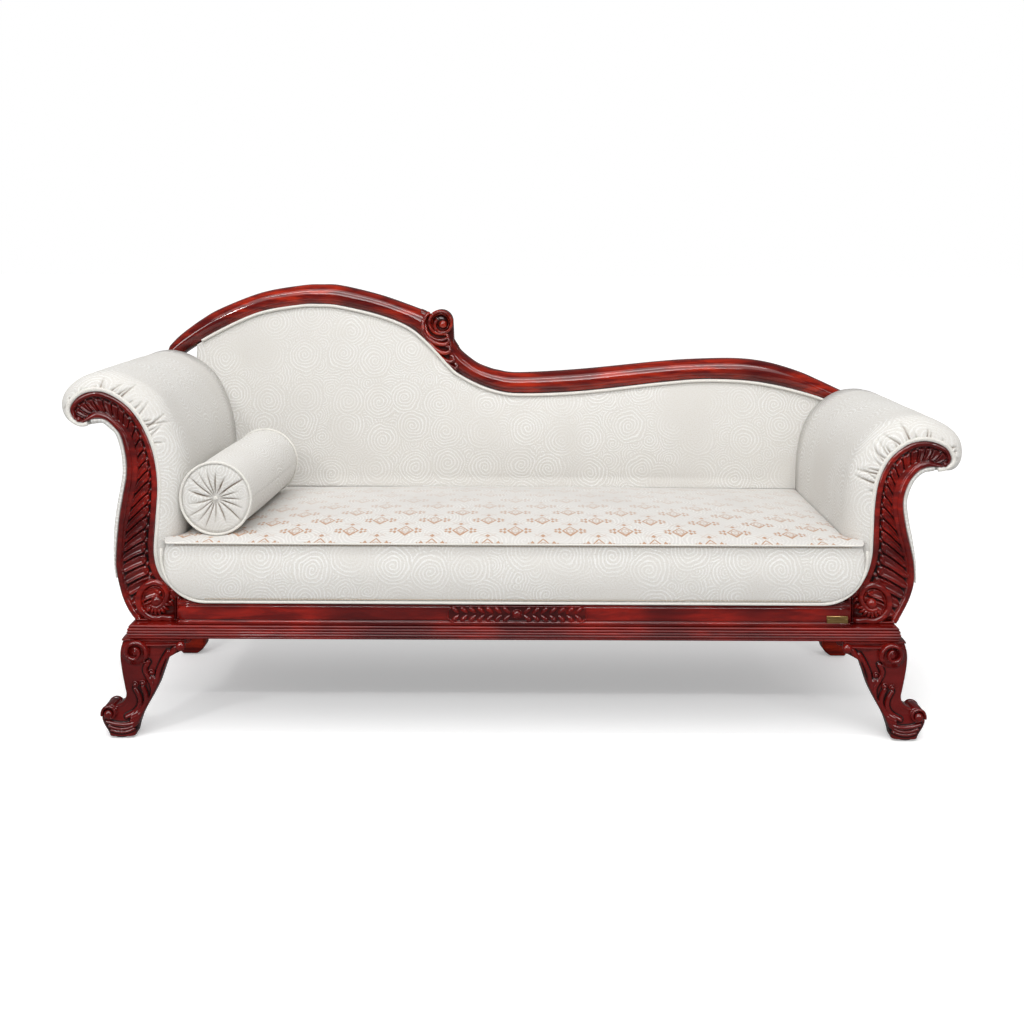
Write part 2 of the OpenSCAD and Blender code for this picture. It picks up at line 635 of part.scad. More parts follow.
function out_line(line) = let(z = out_low, p = above(line, z), a = p[len(p) - 1],
    b = line[pad_split + 4 + len(p)]) concat(p, [mixed(a, b, (a[1] - z)/(a[1] - b[1]))]);
module arm_outside(line) {
    path = out_line(line);
    loft(concat([for (a = pad_angles) out_ring(path, [out_round*(1 - cos(a))], sin(a), false)],
        [out_ring(path, [0, fit], 1, false), out_ring(path, [0, 2*fit], 1, true),
            out_ring(path, [0, back_pad_t + post_t], 1, true)]), true, true);
}
module arm_outside_left() { color(damask) placed_in_frame() mirror([1, 0, 0]) arm_outside(head_line); }
module arm_outside_right() { color(damask) placed_in_frame() arm_outside(foot_line); }

// Crest: a tall arch at the head, a carved scroll, and a low wave towards the foot
crest_low = crest_z - rail_z;
crest_half = 962;
arch_top_shares = [[-1, 0.775], [-0.971, 0.813], [-0.914, 0.868], [-0.856, 0.911],
    [-0.74, 0.969], [-0.624, 0.996], [-0.565, 1], [-0.508, 0.996], [-0.392, 0.961],
    [-0.277, 0.91], [-0.256, 0.897]];
tail_top_shares = [[-0.192, 0.812], [-0.173, 0.768], [-0.14, 0.725], [-0.097, 0.693],
    [-0.045, 0.677], [0.012, 0.675], [0.187, 0.689], [0.418, 0.719], [0.534, 0.729],
    [0.65, 0.731], [0.737, 0.717], [0.823, 0.685], [0.882, 0.653], [0.956, 0.609]];
crest_bottom_shares = [[-1, 0.7], [-0.951, 0.751], [-0.856, 0.825], [-0.74, 0.893],
    [-0.624, 0.921], [-0.565, 0.924], [-0.508, 0.919], [-0.392, 0.885], [-0.306, 0.841],
    [-0.247, 0.779], [-0.189, 0.7], [-0.161, 0.671], [-0.103, 0.633], [-0.045, 0.609],
    [0.012, 0.601], [0.13, 0.605], [0.244, 0.617], [0.418, 0.643], [0.534, 0.655],
    [0.65, 0.652], [0.737, 0.637], [0.823, 0.611], [0.882, 0.587], [0.956, 0.549]];
function crest_line(shares) = smooth(placed(shares, crest_half, crest_low, 0, rail_z), 3);
arch_top = crest_line(arch_top_shares);
tail_top = crest_line(tail_top_shares);
crest_bottom = crest_line(crest_bottom_shares);
section_shares = [[0.4, 0], [1, 0], [1, 0.86], [0.86, 0.98], [0.55, 1], [0.3, 0.94],
    [0.1, 0.78], [0, 0.56], [0.03, 0.3], [0.16, 0.1]];
crest_set = 4;
arch_end_share = -0.272;
tail_start_share = -0.156;
function crest_ring(x, top) = let(z0 = lookup(x, crest_bottom), h = lookup(x, top) - z0)
    [for (s = section_shares) let(z = z0 + s[1]*h)
        [x, back_y(z) + crest_set + s[0]*(crest_t - crest_set), z]];
module crest_run(x0, x1, n, top) {
    loft([for (k = [0:n]) crest_ring(mixed(x0, x1, k/n), top)], true);
}
arch_stations = 26;
tail_stations = 36;
module crest_arch() {
    color(wood) placed_in_frame()
        crest_run(-crest_half, arch_end_share*crest_half, arch_stations, arch_top);
}
module crest_tail() {
    color(wood) placed_in_frame()
        crest_run(tail_start_share*crest_half, crest_end_share*crest_half, tail_stations, tail_top);
}
scroll_share = [-0.215, 0.86];
scroll_r = 38;
scroll_ball = 16;
scroll_deep = 33;
scroll_back = 8;
scroll_steps = 12;
scroll_angles = [115:-25:-35];
scroll_proud = 2;
crest_end_share = 0.956;
module crest_scroll() {
    x0 = arch_end_share*crest_half + fit;
    x1 = tail_start_share*crest_half - fit;
    c = [scroll_share[0]*crest_half, rail_z + scroll_share[1]*crest_low];
    under = [for (k = [0:scroll_steps]) let(x = mixed(x1, x0, k/scroll_steps))
        [x, lookup(x, crest_bottom) + fit]];
    outline = concat([[x0, lookup(x0, arch_top)]],
        [for (a = scroll_angles) c + scroll_r*[cos(a), sin(a)]],
        [[x1, lookup(x1, tail_top)]], under);
    face = back_y(c[1]);
    color(wood) placed_in_frame() {
        leaning(reversed(outline), crest_set + scroll_back, crest_t);
        translate([c[0], 0, c[1]]) {
            plate(face - scroll_proud, face + scroll_deep) spiral(scroll_r, volute_w, -1);
            translate([0, face + scroll_back, 0]) sphere(r = scroll_ball, $fn = round_fn);
        }
    }
}

// Back frame, padding and piping
post_shares = [-0.9, -0.5, 0.012, 0.46, 0.9];
module back_posts() {
    color(raw_wood) placed_in_frame() for (s = post_shares)
        let(x0 = s*crest_half - post_w/2, x1 = s*crest_half + post_w/2)
            leaning([[x0, rail_top], [x1, rail_top], [x1, lookup(x1, crest_bottom) - fit],
                [x0, lookup(x0, crest_bottom) - fit]], back_pad_t, back_pad_t + post_t);
}
slat_h = 45;
slat_t = 20;
module back_slats() {
    color(raw_wood) placed_in_frame() for (i = [0:len(post_shares) - 2])
        let(x0 = post_shares[i]*crest_half + post_w/2, x1 = post_shares[i + 1]*crest_half - post_w/2)
            leaning([[x0, back_z], [x1, back_z], [x1, back_z + slat_h], [x0, back_z + slat_h]],
                back_pad_t, back_pad_t + slat_t);
}
back_half_shares = [-0.915, 0.9];
welt_half_shares = [-0.9, 0.86];
back_cols = 50;
back_rows = 8;
back_seam = 2;
crown_in = 14;
back_edge_power = 6;
welt_clear = 0;
function back_face(x, z, z1) = let(t = (z - back_z - seat_crown)/(z1 - back_z - seat_crown),
        s = abs(x)/(rail_half - crown_in))
    back_y(z) - (t > 0 && t < 1
        ? sin(180*t)*(s < 1 ? back_crown*(1 - pow(s, back_edge_power)) - fit : -fit) : 0);
function back_ring(x) = let(z0 = back_z, z1 = lookup(x, crest_bottom) - back_seam)
    concat([for (k = [0:back_rows]) let(z = mixed(z0, z1, k/back_rows)) [x, back_face(x, z, z1), z]],
        [[x, back_y(z1) + back_pad_t - fit, z1], [x, back_y(z0) + back_pad_t - fit, z0]]);
module back_pad() {
    x0 = back_half_shares[0]*crest_half;
    x1 = back_half_shares[1]*crest_half;
    color(damask) placed_in_frame()
        loft([for (k = [0:back_cols]) back_ring(mixed(x0, x1, k/back_cols))]);
}
module back_welt() {
    x0 = welt_half_shares[0]*crest_half;
    x1 = welt_half_shares[1]*crest_half;
    path = [for (k = [0:back_cols]) let(x = mixed(x0, x1, k/back_cols),
        z = lookup(x, crest_bottom)) [x, back_y(z) - welt_clear - welt_r, z]];
    color(damask) placed_in_frame() loft(cord_rings(path, welt_r - fit, [0, 1, 0]));
}
module back_outside_panel() {
    x = post_shares[len(post_shares) - 1]*crest_half + post_w/2;
    off0 = back_pad_t + post_t;
    off1 = off0 + panel_t;
    z0 = rail_top + fit;
    color(damask) placed_in_frame() loft([for (k = [0:back_cols]) let(c = mixed(-x, x, k/back_cols),
        z1 = lookup(c, crest_bottom) - fit) [[c, back_y(z0) + off0, z0], [c, back_y(z1) + off0, z1],
            [c, back_y(z1) + off1, z1], [c, back_y(z0) + off1, z0]]]);
}

// Seat: webbing, core, bulging front border, crowned top and piping
cross_straps = 14;
long_straps = 5;
strap_w = 50;
web_half_x = head_base - apron_t - rail_t/2;
web_foot_x = foot_base - apron_t - rail_t/2;
web_hold_share = 0.7;
module seat_webbing() {
    y0 = fit;
    y1 = back_rail_y - rail_t*web_hold_share;
    color(webbing_tone) placed_in_frame() {
        for (k = [0:cross_straps - 1])
            translate([mixed(-rail_half + strap_w, rail_half - 2*strap_w, k/(cross_straps - 1)),
                y0, rail_top]) cube([strap_w, y1 - y0, web_t]);
        for (k = [0:long_straps - 1])
            translate([-web_half_x, mixed(board_t + strap_w, y1 - 3*strap_w, k/(long_straps - 1)),
                rail_top + web_t]) cube([web_half_x + web_foot_x, strap_w, web_t]);
    }
}
core_clear = 25;
module seat_core() {
    z0 = rail_top + 2*web_t;
    color(raw_wood) placed_in_frame()
        translate([-rail_half + core_clear, 0, z0])
            cube([rail_len - 2*core_clear, seat_depth - seat_clear, border_top - z0]);
}
seat_half = seat_len/2;
border_steps = 8;
border_round = 100;
border_z = rail_top + fit;
border_top = seat_z - welt_r/2;
// Outline of the border's round lower corner at the right, set out by a distance
function border_corner(out) = [for (k = [0:border_steps]) let(a = 90*k/border_steps)
    [seat_half - border_round + (border_round + out)*sin(a),
     border_z + border_round - (border_round + out)*cos(a)]];
function border_y(z) = rail_out + border_bulge*sin(180*max(0, (z - border_z - welt_r)
    /(seat_z - border_z - welt_r)));
module seat_border() {
    right = border_corner(0);
    color(damask) placed_in_frame() intersection() {
        translate([-seat_half, 0, 0]) rotate([90, 0, 90]) linear_extrude(seat_len)
            polygon(concat([[-rail_out, border_z]],
                [for (k = [0:border_steps]) let(z = mixed(border_z + welt_r, border_top, k/border_steps))
                    [-border_y(z), z]], [[-fit, border_top], [-fit, border_z]]));
        plate(-rail_out - 2*border_bulge, overrun) polygon(concat(right,
            [[seat_half, border_top], [-seat_half, border_top]],
            [for (p = reversed(right)) [-p[0], p[1]]]));
    }
}
seat_cols = 26;
seat_over = 8;
seat_front = rail_out + seat_over;
seat_arm_share = 0.24;
seat_rows_share = [0, 0.02, 0.05, 0.1, 0.16, 0.24, 0.33, 0.43, 0.53, 0.63, 0.73, 0.82, 0.9, 0.96, 1];
function arm_round(y) = y <= 0 ? 0 : y >= pad_round ? arm_pad_t
    : arm_pad_t*sqrt(1 - pow(1 - y/pad_round, 2));
seat_side_in = 5;
seat_clear = 2;
function seat_w(y) = min(seat_half, rail_half + head_reach*seat_arm_share - seat_side_in - arm_round(y));
pad_lift = 1.5;
crown_floor_share = 0.04;
crown_power = 2.6;
crown_full = 0.8;
crown_side_power = 3;
function crown_share(s) = max(crown_floor_share, 1 - pow(abs(2*s - 1), crown_power));
function seat_top(xs, ys) = seat_z + pad_lift + seat_slope*ys
    + seat_crown*pow(crown_share(ys), crown_full)*pow(1 - pow(abs(xs), crown_side_power), crown_full);
function seat_ring(ys) = let(y = mixed(-seat_front, seat_depth - seat_clear, ys), w = seat_w(y),
        z0 = border_top)
    concat([for (k = [0:seat_cols]) let(xs = -cos(180*k/seat_cols)) [xs*w, y, seat_top(xs, ys)]],
        [[w, y, z0], [-w, y, z0]]);
module seat_pad() {
    color(brocade) placed_in_frame() loft([for (s = seat_rows_share) seat_ring(s)], true);
}
welt_steps = 5;
welt_cols = 12;
module seat_welt_top() {
    x = seat_half + welt_r + fit;
    y = -seat_front - welt_r - fit;
    welt_round = welt_r + fit;
    turn = [for (k = [0:welt_steps]) let(a = 90*k/welt_steps)
        [x - welt_round*(1 - cos(a)), y + welt_round*(1 - sin(a)), seat_z]];
    path = concat([[x, -welt_r, seat_z]], turn,
        [for (k = [1:welt_cols - 1]) [mixed(x - welt_round, welt_round - x, k/welt_cols), y, seat_z]],
        [for (p = reversed(turn)) [-p[0], p[1], p[2]]], [[-x, -welt_r, seat_z]]);
    color(damask) placed_in_frame() loft(cord_rings(path, welt_r, [0, 0, 1]));
}
module seat_welt_bottom() {
    y = -rail_out - welt_r - fit;
    right = border_corner(welt_r + fit);
    end = right[len(right) - 1];
    low = right[0];
    path = concat([[end[0], y, seat_z - 2*welt_r - fit]],
        [for (p = reversed(right)) [p[0], y, p[1]]],
        [for (k = [1:welt_cols - 1]) [mixed(low[0], -low[0], k/welt_cols), y, low[1]]],
        [for (p = right) [-p[0], y, p[1]]], [[-end[0], y, seat_z - 2*welt_r - fit]]);
    color(damask) placed_in_frame() loft(cord_rings(path, welt_r, [0, 1, 0]));
}
dust_t = 1.5;
module dust_cover() {
    x = plinth_half - plinth_w - fit;
    y0 = plinth_w - plinth_out + fit;
    y1 = base_depth - plinth_w - fit;
    color(black_cloth) placed_in_frame()
        translate([-x, y0, rail_z - dust_t]) cube([2*x, y1 - y0, dust_t]);
}

// Loose bolster with pleated ends
bolster_r = bolster_d/2;
bolster_swell = 2;
cover_steps = 6;
end_t = 7;
end_seam = 4;
bolster_welt_r = 3.5;
tie_r = 9;
tie_t = 3;
end_shares = [[0, 0.64], [0.11, 0.64], [0.33, 0.14], [0.7, 0], [0.9, 0.3]];
module on_bolster() {
    placed_in_frame() translate([-bolster_x, bolster_y, bolster_z])
        rotate([bolster_tilt, 0, -bolster_turn]) rotate([-90, 0, 0]) children();
}
module bolster_cover() {
    l = bolster_len;
    color(damask) on_bolster() rotate_extrude($fn = 2*round_fn)
        polygon(concat([[0, end_t]], [for (k = [0:cover_steps]) let(t = k/cover_steps)
            [bolster_r + bolster_swell*sin(180*t), mixed(end_t, l - end_t, t)]], [[0, l - end_t]]));
}
module bolster_ends() {
    l = bolster_len;
    side = concat([for (s = end_shares) [s[0]*bolster_r, s[1]*end_t]],
        [[bolster_r - end_seam, end_t], [0, end_t]]);
    color(damask) on_bolster() {
        rotate_extrude($fn = 2*round_fn) polygon(side);
        translate([0, 0, l]) mirror([0, 0, 1]) rotate_extrude($fn = 2*round_fn) polygon(side);
    }
}
module bolster_welts() {
    color(damask) on_bolster() for (z = [end_t - bolster_welt_r, bolster_len - end_t + bolster_welt_r])
        translate([0, 0, z]) rotate_extrude($fn = 2*round_fn)
            translate([bolster_r, 0]) circle(r = bolster_welt_r, $fn = round_fn/2);
}
module bolster_ties() {
    color(damask) on_bolster() let(z = end_t*end_shares[0][1]) for (c = [z - tie_t, bolster_len - z])
        translate([0, 0, c]) cylinder(r = tie_r, h = tie_t, $fn = round_fn);
}

plinth_front();
plinth_back();
plinth_left();
plinth_right();
front_rail();
back_rail();
end_rail_left();
end_rail_right();
seat_bearers();
rail_carving();
corner_blocks();
corner_screws();
leg_front_left();
leg_front_right();
leg_back_left();
leg_back_right();
leg_bolts();
foot_glides();
arm_facing_left();
arm_facing_right();
arm_back_board_left();
arm_back_board_right();
arm_stretchers_left();
arm_stretchers_right();
end_apron_left();
end_apron_right();
arm_pad_left();
arm_pad_right();
arm_outside_left();
arm_outside_right();
back_posts();
back_slats();
crest_arch();
crest_scroll();
crest_tail();
back_pad();
back_welt();
back_outside_panel();
seat_webbing();
seat_core();
seat_border();
seat_pad();
seat_welt_top();
seat_welt_bottom();
dust_cover();
bolster_cover();
bolster_ends();
bolster_welts();
bolster_ties();
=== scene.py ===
"""Fainting couch: carved mahogany, damask padding and a loose bolster, laid out as a Blender add-on."""

import json
import math

import bmesh
import bpy
import numpy as np
from bpy.props import FloatProperty, IntProperty, PointerProperty
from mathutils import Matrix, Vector, noise


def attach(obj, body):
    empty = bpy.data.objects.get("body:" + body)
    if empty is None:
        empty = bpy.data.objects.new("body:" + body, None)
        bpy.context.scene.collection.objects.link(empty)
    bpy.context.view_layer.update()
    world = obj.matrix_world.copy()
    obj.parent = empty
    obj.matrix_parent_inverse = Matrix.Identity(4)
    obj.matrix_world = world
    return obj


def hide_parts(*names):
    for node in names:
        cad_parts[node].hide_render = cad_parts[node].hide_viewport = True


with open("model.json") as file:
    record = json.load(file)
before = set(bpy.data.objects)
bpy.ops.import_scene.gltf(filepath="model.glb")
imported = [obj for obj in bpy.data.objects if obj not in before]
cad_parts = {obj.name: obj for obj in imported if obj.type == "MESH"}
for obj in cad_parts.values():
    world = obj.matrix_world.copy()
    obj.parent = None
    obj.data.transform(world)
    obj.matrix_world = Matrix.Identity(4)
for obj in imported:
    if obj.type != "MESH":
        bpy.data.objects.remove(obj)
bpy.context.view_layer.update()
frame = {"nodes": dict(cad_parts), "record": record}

bl_info = {
    "name": "Fainting Couch",
    "version": (1, 0, 0),
    "blender": (4, 5, 0),
    "location": "View3D > Sidebar > Couch",
    "description": "Builds a carved mahogany fainting couch over its packed frame",
    "category": "Object",
}

# Couch millimetres: x from the middle, y back from the arm facings, z up from the floor
SHIFT = np.array([4.5, -299.5, 0.0])
RAIL_HALF, RAIL_Z, BOARD_T, FIT = 765.0, 260.0, 26.0, 0.3
BACK_Z, SEAT_DEPTH, RAKE = 458.0, 520.0, 0.1051
SEAT_WIDE, SEAT_CORNER, BORDER_LOW, SEAM_Z = 800.0, 100.0, 317.5, 447.7
LEG_X, LEG_WIDE, LEG_Z, LEG_TALL = 747, 196, 3, 226
CREST_HALF, CREST_LOW = 962.0, 750.0
ARM_ROUND, ARM_FRONT = 57.0, slice(2, 44)
FACING_RIM, EDGE_STEPS, PLAIN_ROWS, LOBE_GROWTH = 15.0, 16, 4, 1.25
BOLSTER_AT, BOLSTER_TIP, BOLSTER_TURN = (-690, 5, 540.5), 1.8, -5
BOLSTER_R, BOLSTER_ENDS, PLEATS = 82, (7, 393), 17
BALL_STEPS = 16
# Metres: pitch of the cloth's threads, and of the brocade's figures along and across the seat
THREAD, LOZENGE_PITCH, LOZENGE_ROW = 0.0011, 0.127, 0.058
WHITE = (1, 1, 1, 1)
# How thick an arm's roll is before its tip, the seed of its gathers, and the shares of its length they lie between
ARM_CLOTH = {"left": (37.0, 11, 0.52, 0.97), "right": (46.0, 12, 0.44, 0.95)}

HEAD_IN = [[-0, .108], [.115, .152], [.22, .225], [.2494, .33], [.2267, .483], [.2223, .636],
           [.277, .758], [.3648, .854], [.485, .932], [.627, .979], [.777, 1], [.927, .975],
           [1, .922], [.9649, .879]]
HEAD_OUT = [[.8771, .862], [.7771, .88], [.6801, .871], [.6003, .835], [.5469, .797], [.5023, .7],
            [.502, .623], [.5265, .553], [.5656, .43], [.5852, .309], [.585, .222], [.538, .117],
            [.477, .047], [.408, 0]]
FOOT_IN = [[0, .148], [.133, .207], [.207, .29], [.253, .405], [.257, .543], [.278, .695], [.332, .821],
           [.448, .926], [.61, .988], [.734, 1], [.859, .99], [.971, .952], [1, .905], [.983, .876]]
FOOT_OUT = [[.9, .857], [.8, .857], [.685, .831], [.602, .771], [.552, .69], [.548, .619], [.581, .505],
            [.618, .417], [.651, .317], [.651, .224], [.61, .138], [.544, .06], [.485, 0]]
# Inner and outer edge of each facing, and how far it reaches out and up
ARMS = {"left": (HEAD_IN, HEAD_OUT, 260.0, 528.0), "right": (FOOT_IN, FOOT_OUT, 241.0, 420.0)}
# The foot's outer edge gets one point more, to have as many as the inner edge
FACING_OUT = {"left": HEAD_OUT, "right": FOOT_OUT[:2] + [[.74, .848]] + FOOT_OUT[2:]}
ARCH_TOP = [[-1, .775], [-.971, .813], [-.914, .868], [-.856, .911], [-.74, .969], [-.624, .996],
            [-.565, 1], [-.508, .996], [-.392, .961], [-.277, .91], [-.256, .897]]
TAIL_TOP = [[-.19, .827], [-.185, .818], [-.1767, .795], [-.1663, .7747], [-.155, .7557], [-.130, .7293],
            [-.1064, .7091], [-.078, .6947], [-.05, .685], [.012, .676],
            [.187, .689], [.418, .719], [.534, .729], [.65, .731], [.737, .717], [.823, .685],
            [.882, .653], [.956, .609]]
CREST_BOTTOM = [[-1, .7], [-.951, .751], [-.856, .825], [-.74, .893], [-.624, .921], [-.565, .924],
                [-.508, .919], [-.392, .885], [-.306, .841], [-.247, .779], [-.189, .7], [-.161, .671],
                [-.103, .633], [-.045, .609], [.012, .601], [.13, .605], [.244, .617], [.418, .643],
                [.534, .655], [.65, .652], [.737, .637], [.823, .611], [.882, .587], [.956, .549]]
CREST_SECTION = [[.4, 0], [1, 0], [1, .86], [.86, .98], [.55, 1], [.3, .94], [.1, .78], [0, .56],
                 [.03, .3], [.16, .1]]
LEG_OUTER = [[.74, .98], [.76, .93], [.778, .86], [.775, .76], [.75, .62], [.72, .49], [.706, .42],
             [.74, .35], [.83, .31], [.945, .285], [.985, .2], [.966, .13], [.91, .05], [.893, .013]]
LEG_INNER = [[.03, .98], [.03, .93], [.07, .86], [.2, .8], [.26, .69], [.325, .53], [.365, .455],
             [.41, .38], [.45, .315], [.49, .25], [.53, .18], [.555, .12], [.575, .07], [.59, .013]]


def smooth(points, n):
    """Points on the smooth curve through the given ones, n to a stretch, with clamped ends."""
    p = np.array(points, float)
    out = []
    for i in range(len(p) - 1):
        a, b, c, d = p[max(i - 1, 0)], p[i], p[i + 1], p[min(i + 2, len(p) - 1)]
        for t in np.arange(n) / n:
            out.append(0.5 * (2 * b + (c - a) * t + (2 * a - 5 * b + 4 * c - d) * t * t
                              + (3 * b - a - 3 * c + d) * t ** 3))
    return np.array(out + [p[-1]])


def placed(shares, reach, rise, x=RAIL_HALF):
    """Points (x, z) from shares of a reach beyond x and of a rise above the rail's foot."""
    return [[x + s[0] * reach, RAIL_Z + s[1] * rise] for s in shares]


def lengths(p):
    """How far along a line each of its points lies."""
    return np.concatenate([[0], np.cumsum(np.linalg.norm(np.diff(p, axis=0), axis=1))])


def resampled(p, n):
    """n points evenly spaced along a line."""
    s = lengths(p)
    want = np.linspace(0, s[-1], n)
    return np.stack([np.interp(want, s, column) for column in p.T], 1)


def unit(v):
    return v / (np.linalg.norm(v, axis=1)[:, None] + 1e-9)


def square_to(p):
    """Unit vectors at the left hand of a line of (x, z) points."""
    t = unit(np.gradient(p, axis=0))
    return np.stack([-t[:, 1], t[:, 0]], 1)


def back_y(z):
    """Where the raked back's padding meets its frame."""
    return SEAT_DEPTH + RAKE * (np.asarray(z, float) - BACK_Z)


def clipped(t):
    return np.clip(t, 0, 1)


def eased(t):
    """0 at 0 and 1 at 1, with soft ends."""
    t = clipped(t)
    return t * t * (3 - 2 * t)


def mixed(a, b, t):
    return a + (b - a) * t


def bump(d, wide):
    """A half-round ridge across, 1 on its middle and 0 at its edges."""
    return np.sqrt(clipped(1 - (d / wide) ** 2))


def quarter(t):
    """A quarter round: 0 at 0, upright there, and level at 1."""
    return np.sqrt(clipped(1 - (1 - clipped(t)) ** 2))


def bell(d, wide):
    """1 at 0, and soon nothing beyond a width."""
    return np.exp(-(d / wide) ** 2)


def circle(n):
    """n even angles round a circle."""
    return np.linspace(0, 2 * math.pi, n, endpoint=False)


def columns(*parts):
    """Coordinates side by side on the last axis."""
    return np.stack(np.broadcast_arrays(*parts), -1).astype(float)


def arc(centre, r, angle, y):
    """Points about (x, z) at a depth y."""
    return columns(centre[0] + r * np.cos(angle), y, centre[1] + r * np.sin(angle))


def spiral(centre, y, r0, r1, turns, start, hand, steps):
    """A flat spiral in from r0 to r1, its depth going from the first to the second y."""
    t = np.linspace(0, 1, steps)
    return arc(centre, r0 * (r1 / r0) ** t, np.radians(start + hand * 360 * turns * t), mixed(*y, t))


def ripple(p, size, seed):
    """Soft fixed noise at points, about -1 to 1."""
    offset = Vector((seed * 17.3, seed * 5.1, seed * 9.7))
    return np.array([noise.noise(Vector(q) + offset) for q in p.reshape(-1, 3) / size]).reshape(p.shape[:-1])


def off_line(points, line):
    """Distance of each (x, z) point from a line."""
    flat = points.reshape(-1, 2)
    best = np.full(len(flat), 1e9)
    for p, q in zip(line[:-1], np.diff(line, axis=0)):
        t = clipped(((flat - p) @ q) / (q @ q + 1e-9))
        best = np.minimum(best, np.hypot(*(flat - p - t[:, None] * q).T))
    return best.reshape(points.shape[:-1])


def between(a, b, t):
    """Rows of points from line a to line b at the shares t."""
    return a[:, None, :] + (b - a)[:, None, :] * t[None, :, None]


def declared(obj, nodes=(), body="frame"):
    """Hang a finished piece on what it rides on, and hide the CAD nodes that it stands for."""
    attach(obj, body)
    if nodes:
        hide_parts(*nodes)


class Shell:
    """Grids of points in couch millimetres, gathered into one mesh."""

    def __init__(self, side="right"):
        self.grids, self.count, self.mirror = [], 0, side == "left"

    def grid(self, p, loop=False, uv=None, hollow_shade=0.0):
        """Rings of points, one a row, with closed ends or with the last ring joined to the first."""
        p = np.array(p, float)
        if self.mirror:
            p[..., 0] *= -1
        rows, cols = p.shape[:2]
        index = np.arange(rows * cols).reshape(rows, cols)
        a, b = np.meshgrid(np.arange(rows if loop else rows - 1), np.arange(cols), indexing="ij")
        c, d = (a + 1) % rows, (b + 1) % cols
        quads = np.stack([index[a, b], index[c, b], index[c, d], index[a, d]], -1).reshape(-1, 4)
        flat, tris = p.reshape(-1, 3), np.zeros((0, 3), int)
        if not loop:
            flat = np.vstack([flat, p[0].mean(0), p[-1].mean(0)])
            rim = np.arange(cols)
            after = (rim + 1) % cols
            first, last = np.full(cols, rows * cols), np.full(cols, rows * cols + 1)
            tris = np.vstack([np.stack([first, index[0, rim], index[0, after]], 1),
                              np.stack([last, index[-1, after], index[-1, rim]], 1)])
        spokes = flat - flat.mean(0)

        def volume(faces):
            one, *rest = (spokes[faces[:, k]] for k in range(faces.shape[1]))
            return sum((one * np.cross(e, f)).sum() for e, f in zip(rest, rest[1:]))

        if volume(quads) + volume(tris) < 0:
            quads, tris = quads[:, ::-1], tris[:, ::-1]
        extra = len(flat) - rows * cols
        made = np.zeros((rows * cols, 2)) if uv is None else np.array(uv, float).reshape(-1, 2)
        # Painted shade: how dark each point is drawn for lying in a recess or crease
        deep = np.broadcast_to(hollow_shade, (rows, cols)).ravel()
        self.grids.append((flat, np.vstack([made, np.tile(made[-1], (extra, 1))]),
                           np.concatenate([deep, np.full(extra, deep[-1])]), quads + self.count, tris + self.count))
        self.count += len(flat)

    def slab(self, front, rear, hollow_shade=0.0, uv=None):
        """Rings of a front and a rear. Only the front gets painted shade in its recesses."""
        deep = np.broadcast_to(hollow_shade, front.shape[:2])
        self.grid(np.concatenate([front, rear], 1), uv=uv, hollow_shade=np.pad(deep, ((0, 0), (0, rear.shape[1]))))

    def sweep(self, path, radius, sides, up=(0, 1, 0), hollow_shade=0.0):
        """A rod along a path: radius is one number, one pair (across, along up) or a pair a point."""
        path = np.array(path, float)
        r = np.broadcast_to(radius, (len(path), 2))
        t = unit(np.gradient(path, axis=0))
        across = unit(np.cross(np.array(up, float), t))
        over = np.cross(t, across)
        a = circle(sides)[None, :, None]
        self.grid(path[:, None, :] + np.cos(a) * r[:, 0, None, None] * across[:, None, :]
                  + np.sin(a) * r[:, 1, None, None] * over[:, None, :], hollow_shade=hollow_shade)

    def ball(self, centre, r, flat):
        """A ball, flattened along y by a share."""
        a = (np.arange(BALL_STEPS)[:, None] + 0.5) * math.pi / BALL_STEPS
        b = circle(2 * BALL_STEPS)
        self.grid(columns(np.sin(a) * np.cos(b), -np.cos(a) * flat, np.sin(a) * np.sin(b)) * r + centre)

    def disc(self, centre, r, sides, depths, hollow_shade):
        self.grid([arc(centre, r, circle(sides), y) for y in depths], hollow_shade=hollow_shade)

    def mesh(self, name, kind, shift=SHIFT):
        points, uvs, hollow_shades, quads, tris = (np.concatenate(parts) for parts in zip(*self.grids))
        mesh = bpy.data.meshes.new(name)
        corners = np.concatenate([quads.ravel(), tris.ravel()])
        starts = np.concatenate([np.arange(len(quads)) * 4, quads.size + np.arange(len(tris)) * 3])
        mesh.vertices.add(len(points))
        mesh.vertices.foreach_set("co", ((points + shift) / 1000).ravel())
        mesh.loops.add(len(corners))
        mesh.loops.foreach_set("vertex_index", corners.astype(np.int32))
        mesh.polygons.add(len(starts))
        mesh.polygons.foreach_set("loop_start", starts.astype(np.int32))
        layer = mesh.uv_layers.new(name="cloth")
        layer.data.foreach_set("uv", (uvs[corners] / 1000).astype(np.float32).ravel())
        # Each point's share of painted shade, for the finish to darken by
        deep = mesh.attributes.new("hollow_shade", "FLOAT", "POINT")
        deep.data.foreach_set("value", hollow_shades.astype(np.float32))
        mesh.update(calc_edges=True)
        mesh.validate()
        mesh.polygons.foreach_set("use_smooth", [True] * len(mesh.polygons))
        mesh.materials.append(finish(kind))
        return mesh

    def make(self, name, kind, *nodes, fill=None, body="frame"):
        """A piece of one finish that stands for CAD nodes. Fill is not used."""
        declared(linked(name, self.mesh(name, kind)), nodes, body)


def linked(name, data):
    """A new object in the scene."""
    obj = bpy.data.objects.new(name, data)
    bpy.context.scene.collection.objects.link(obj)
    return obj


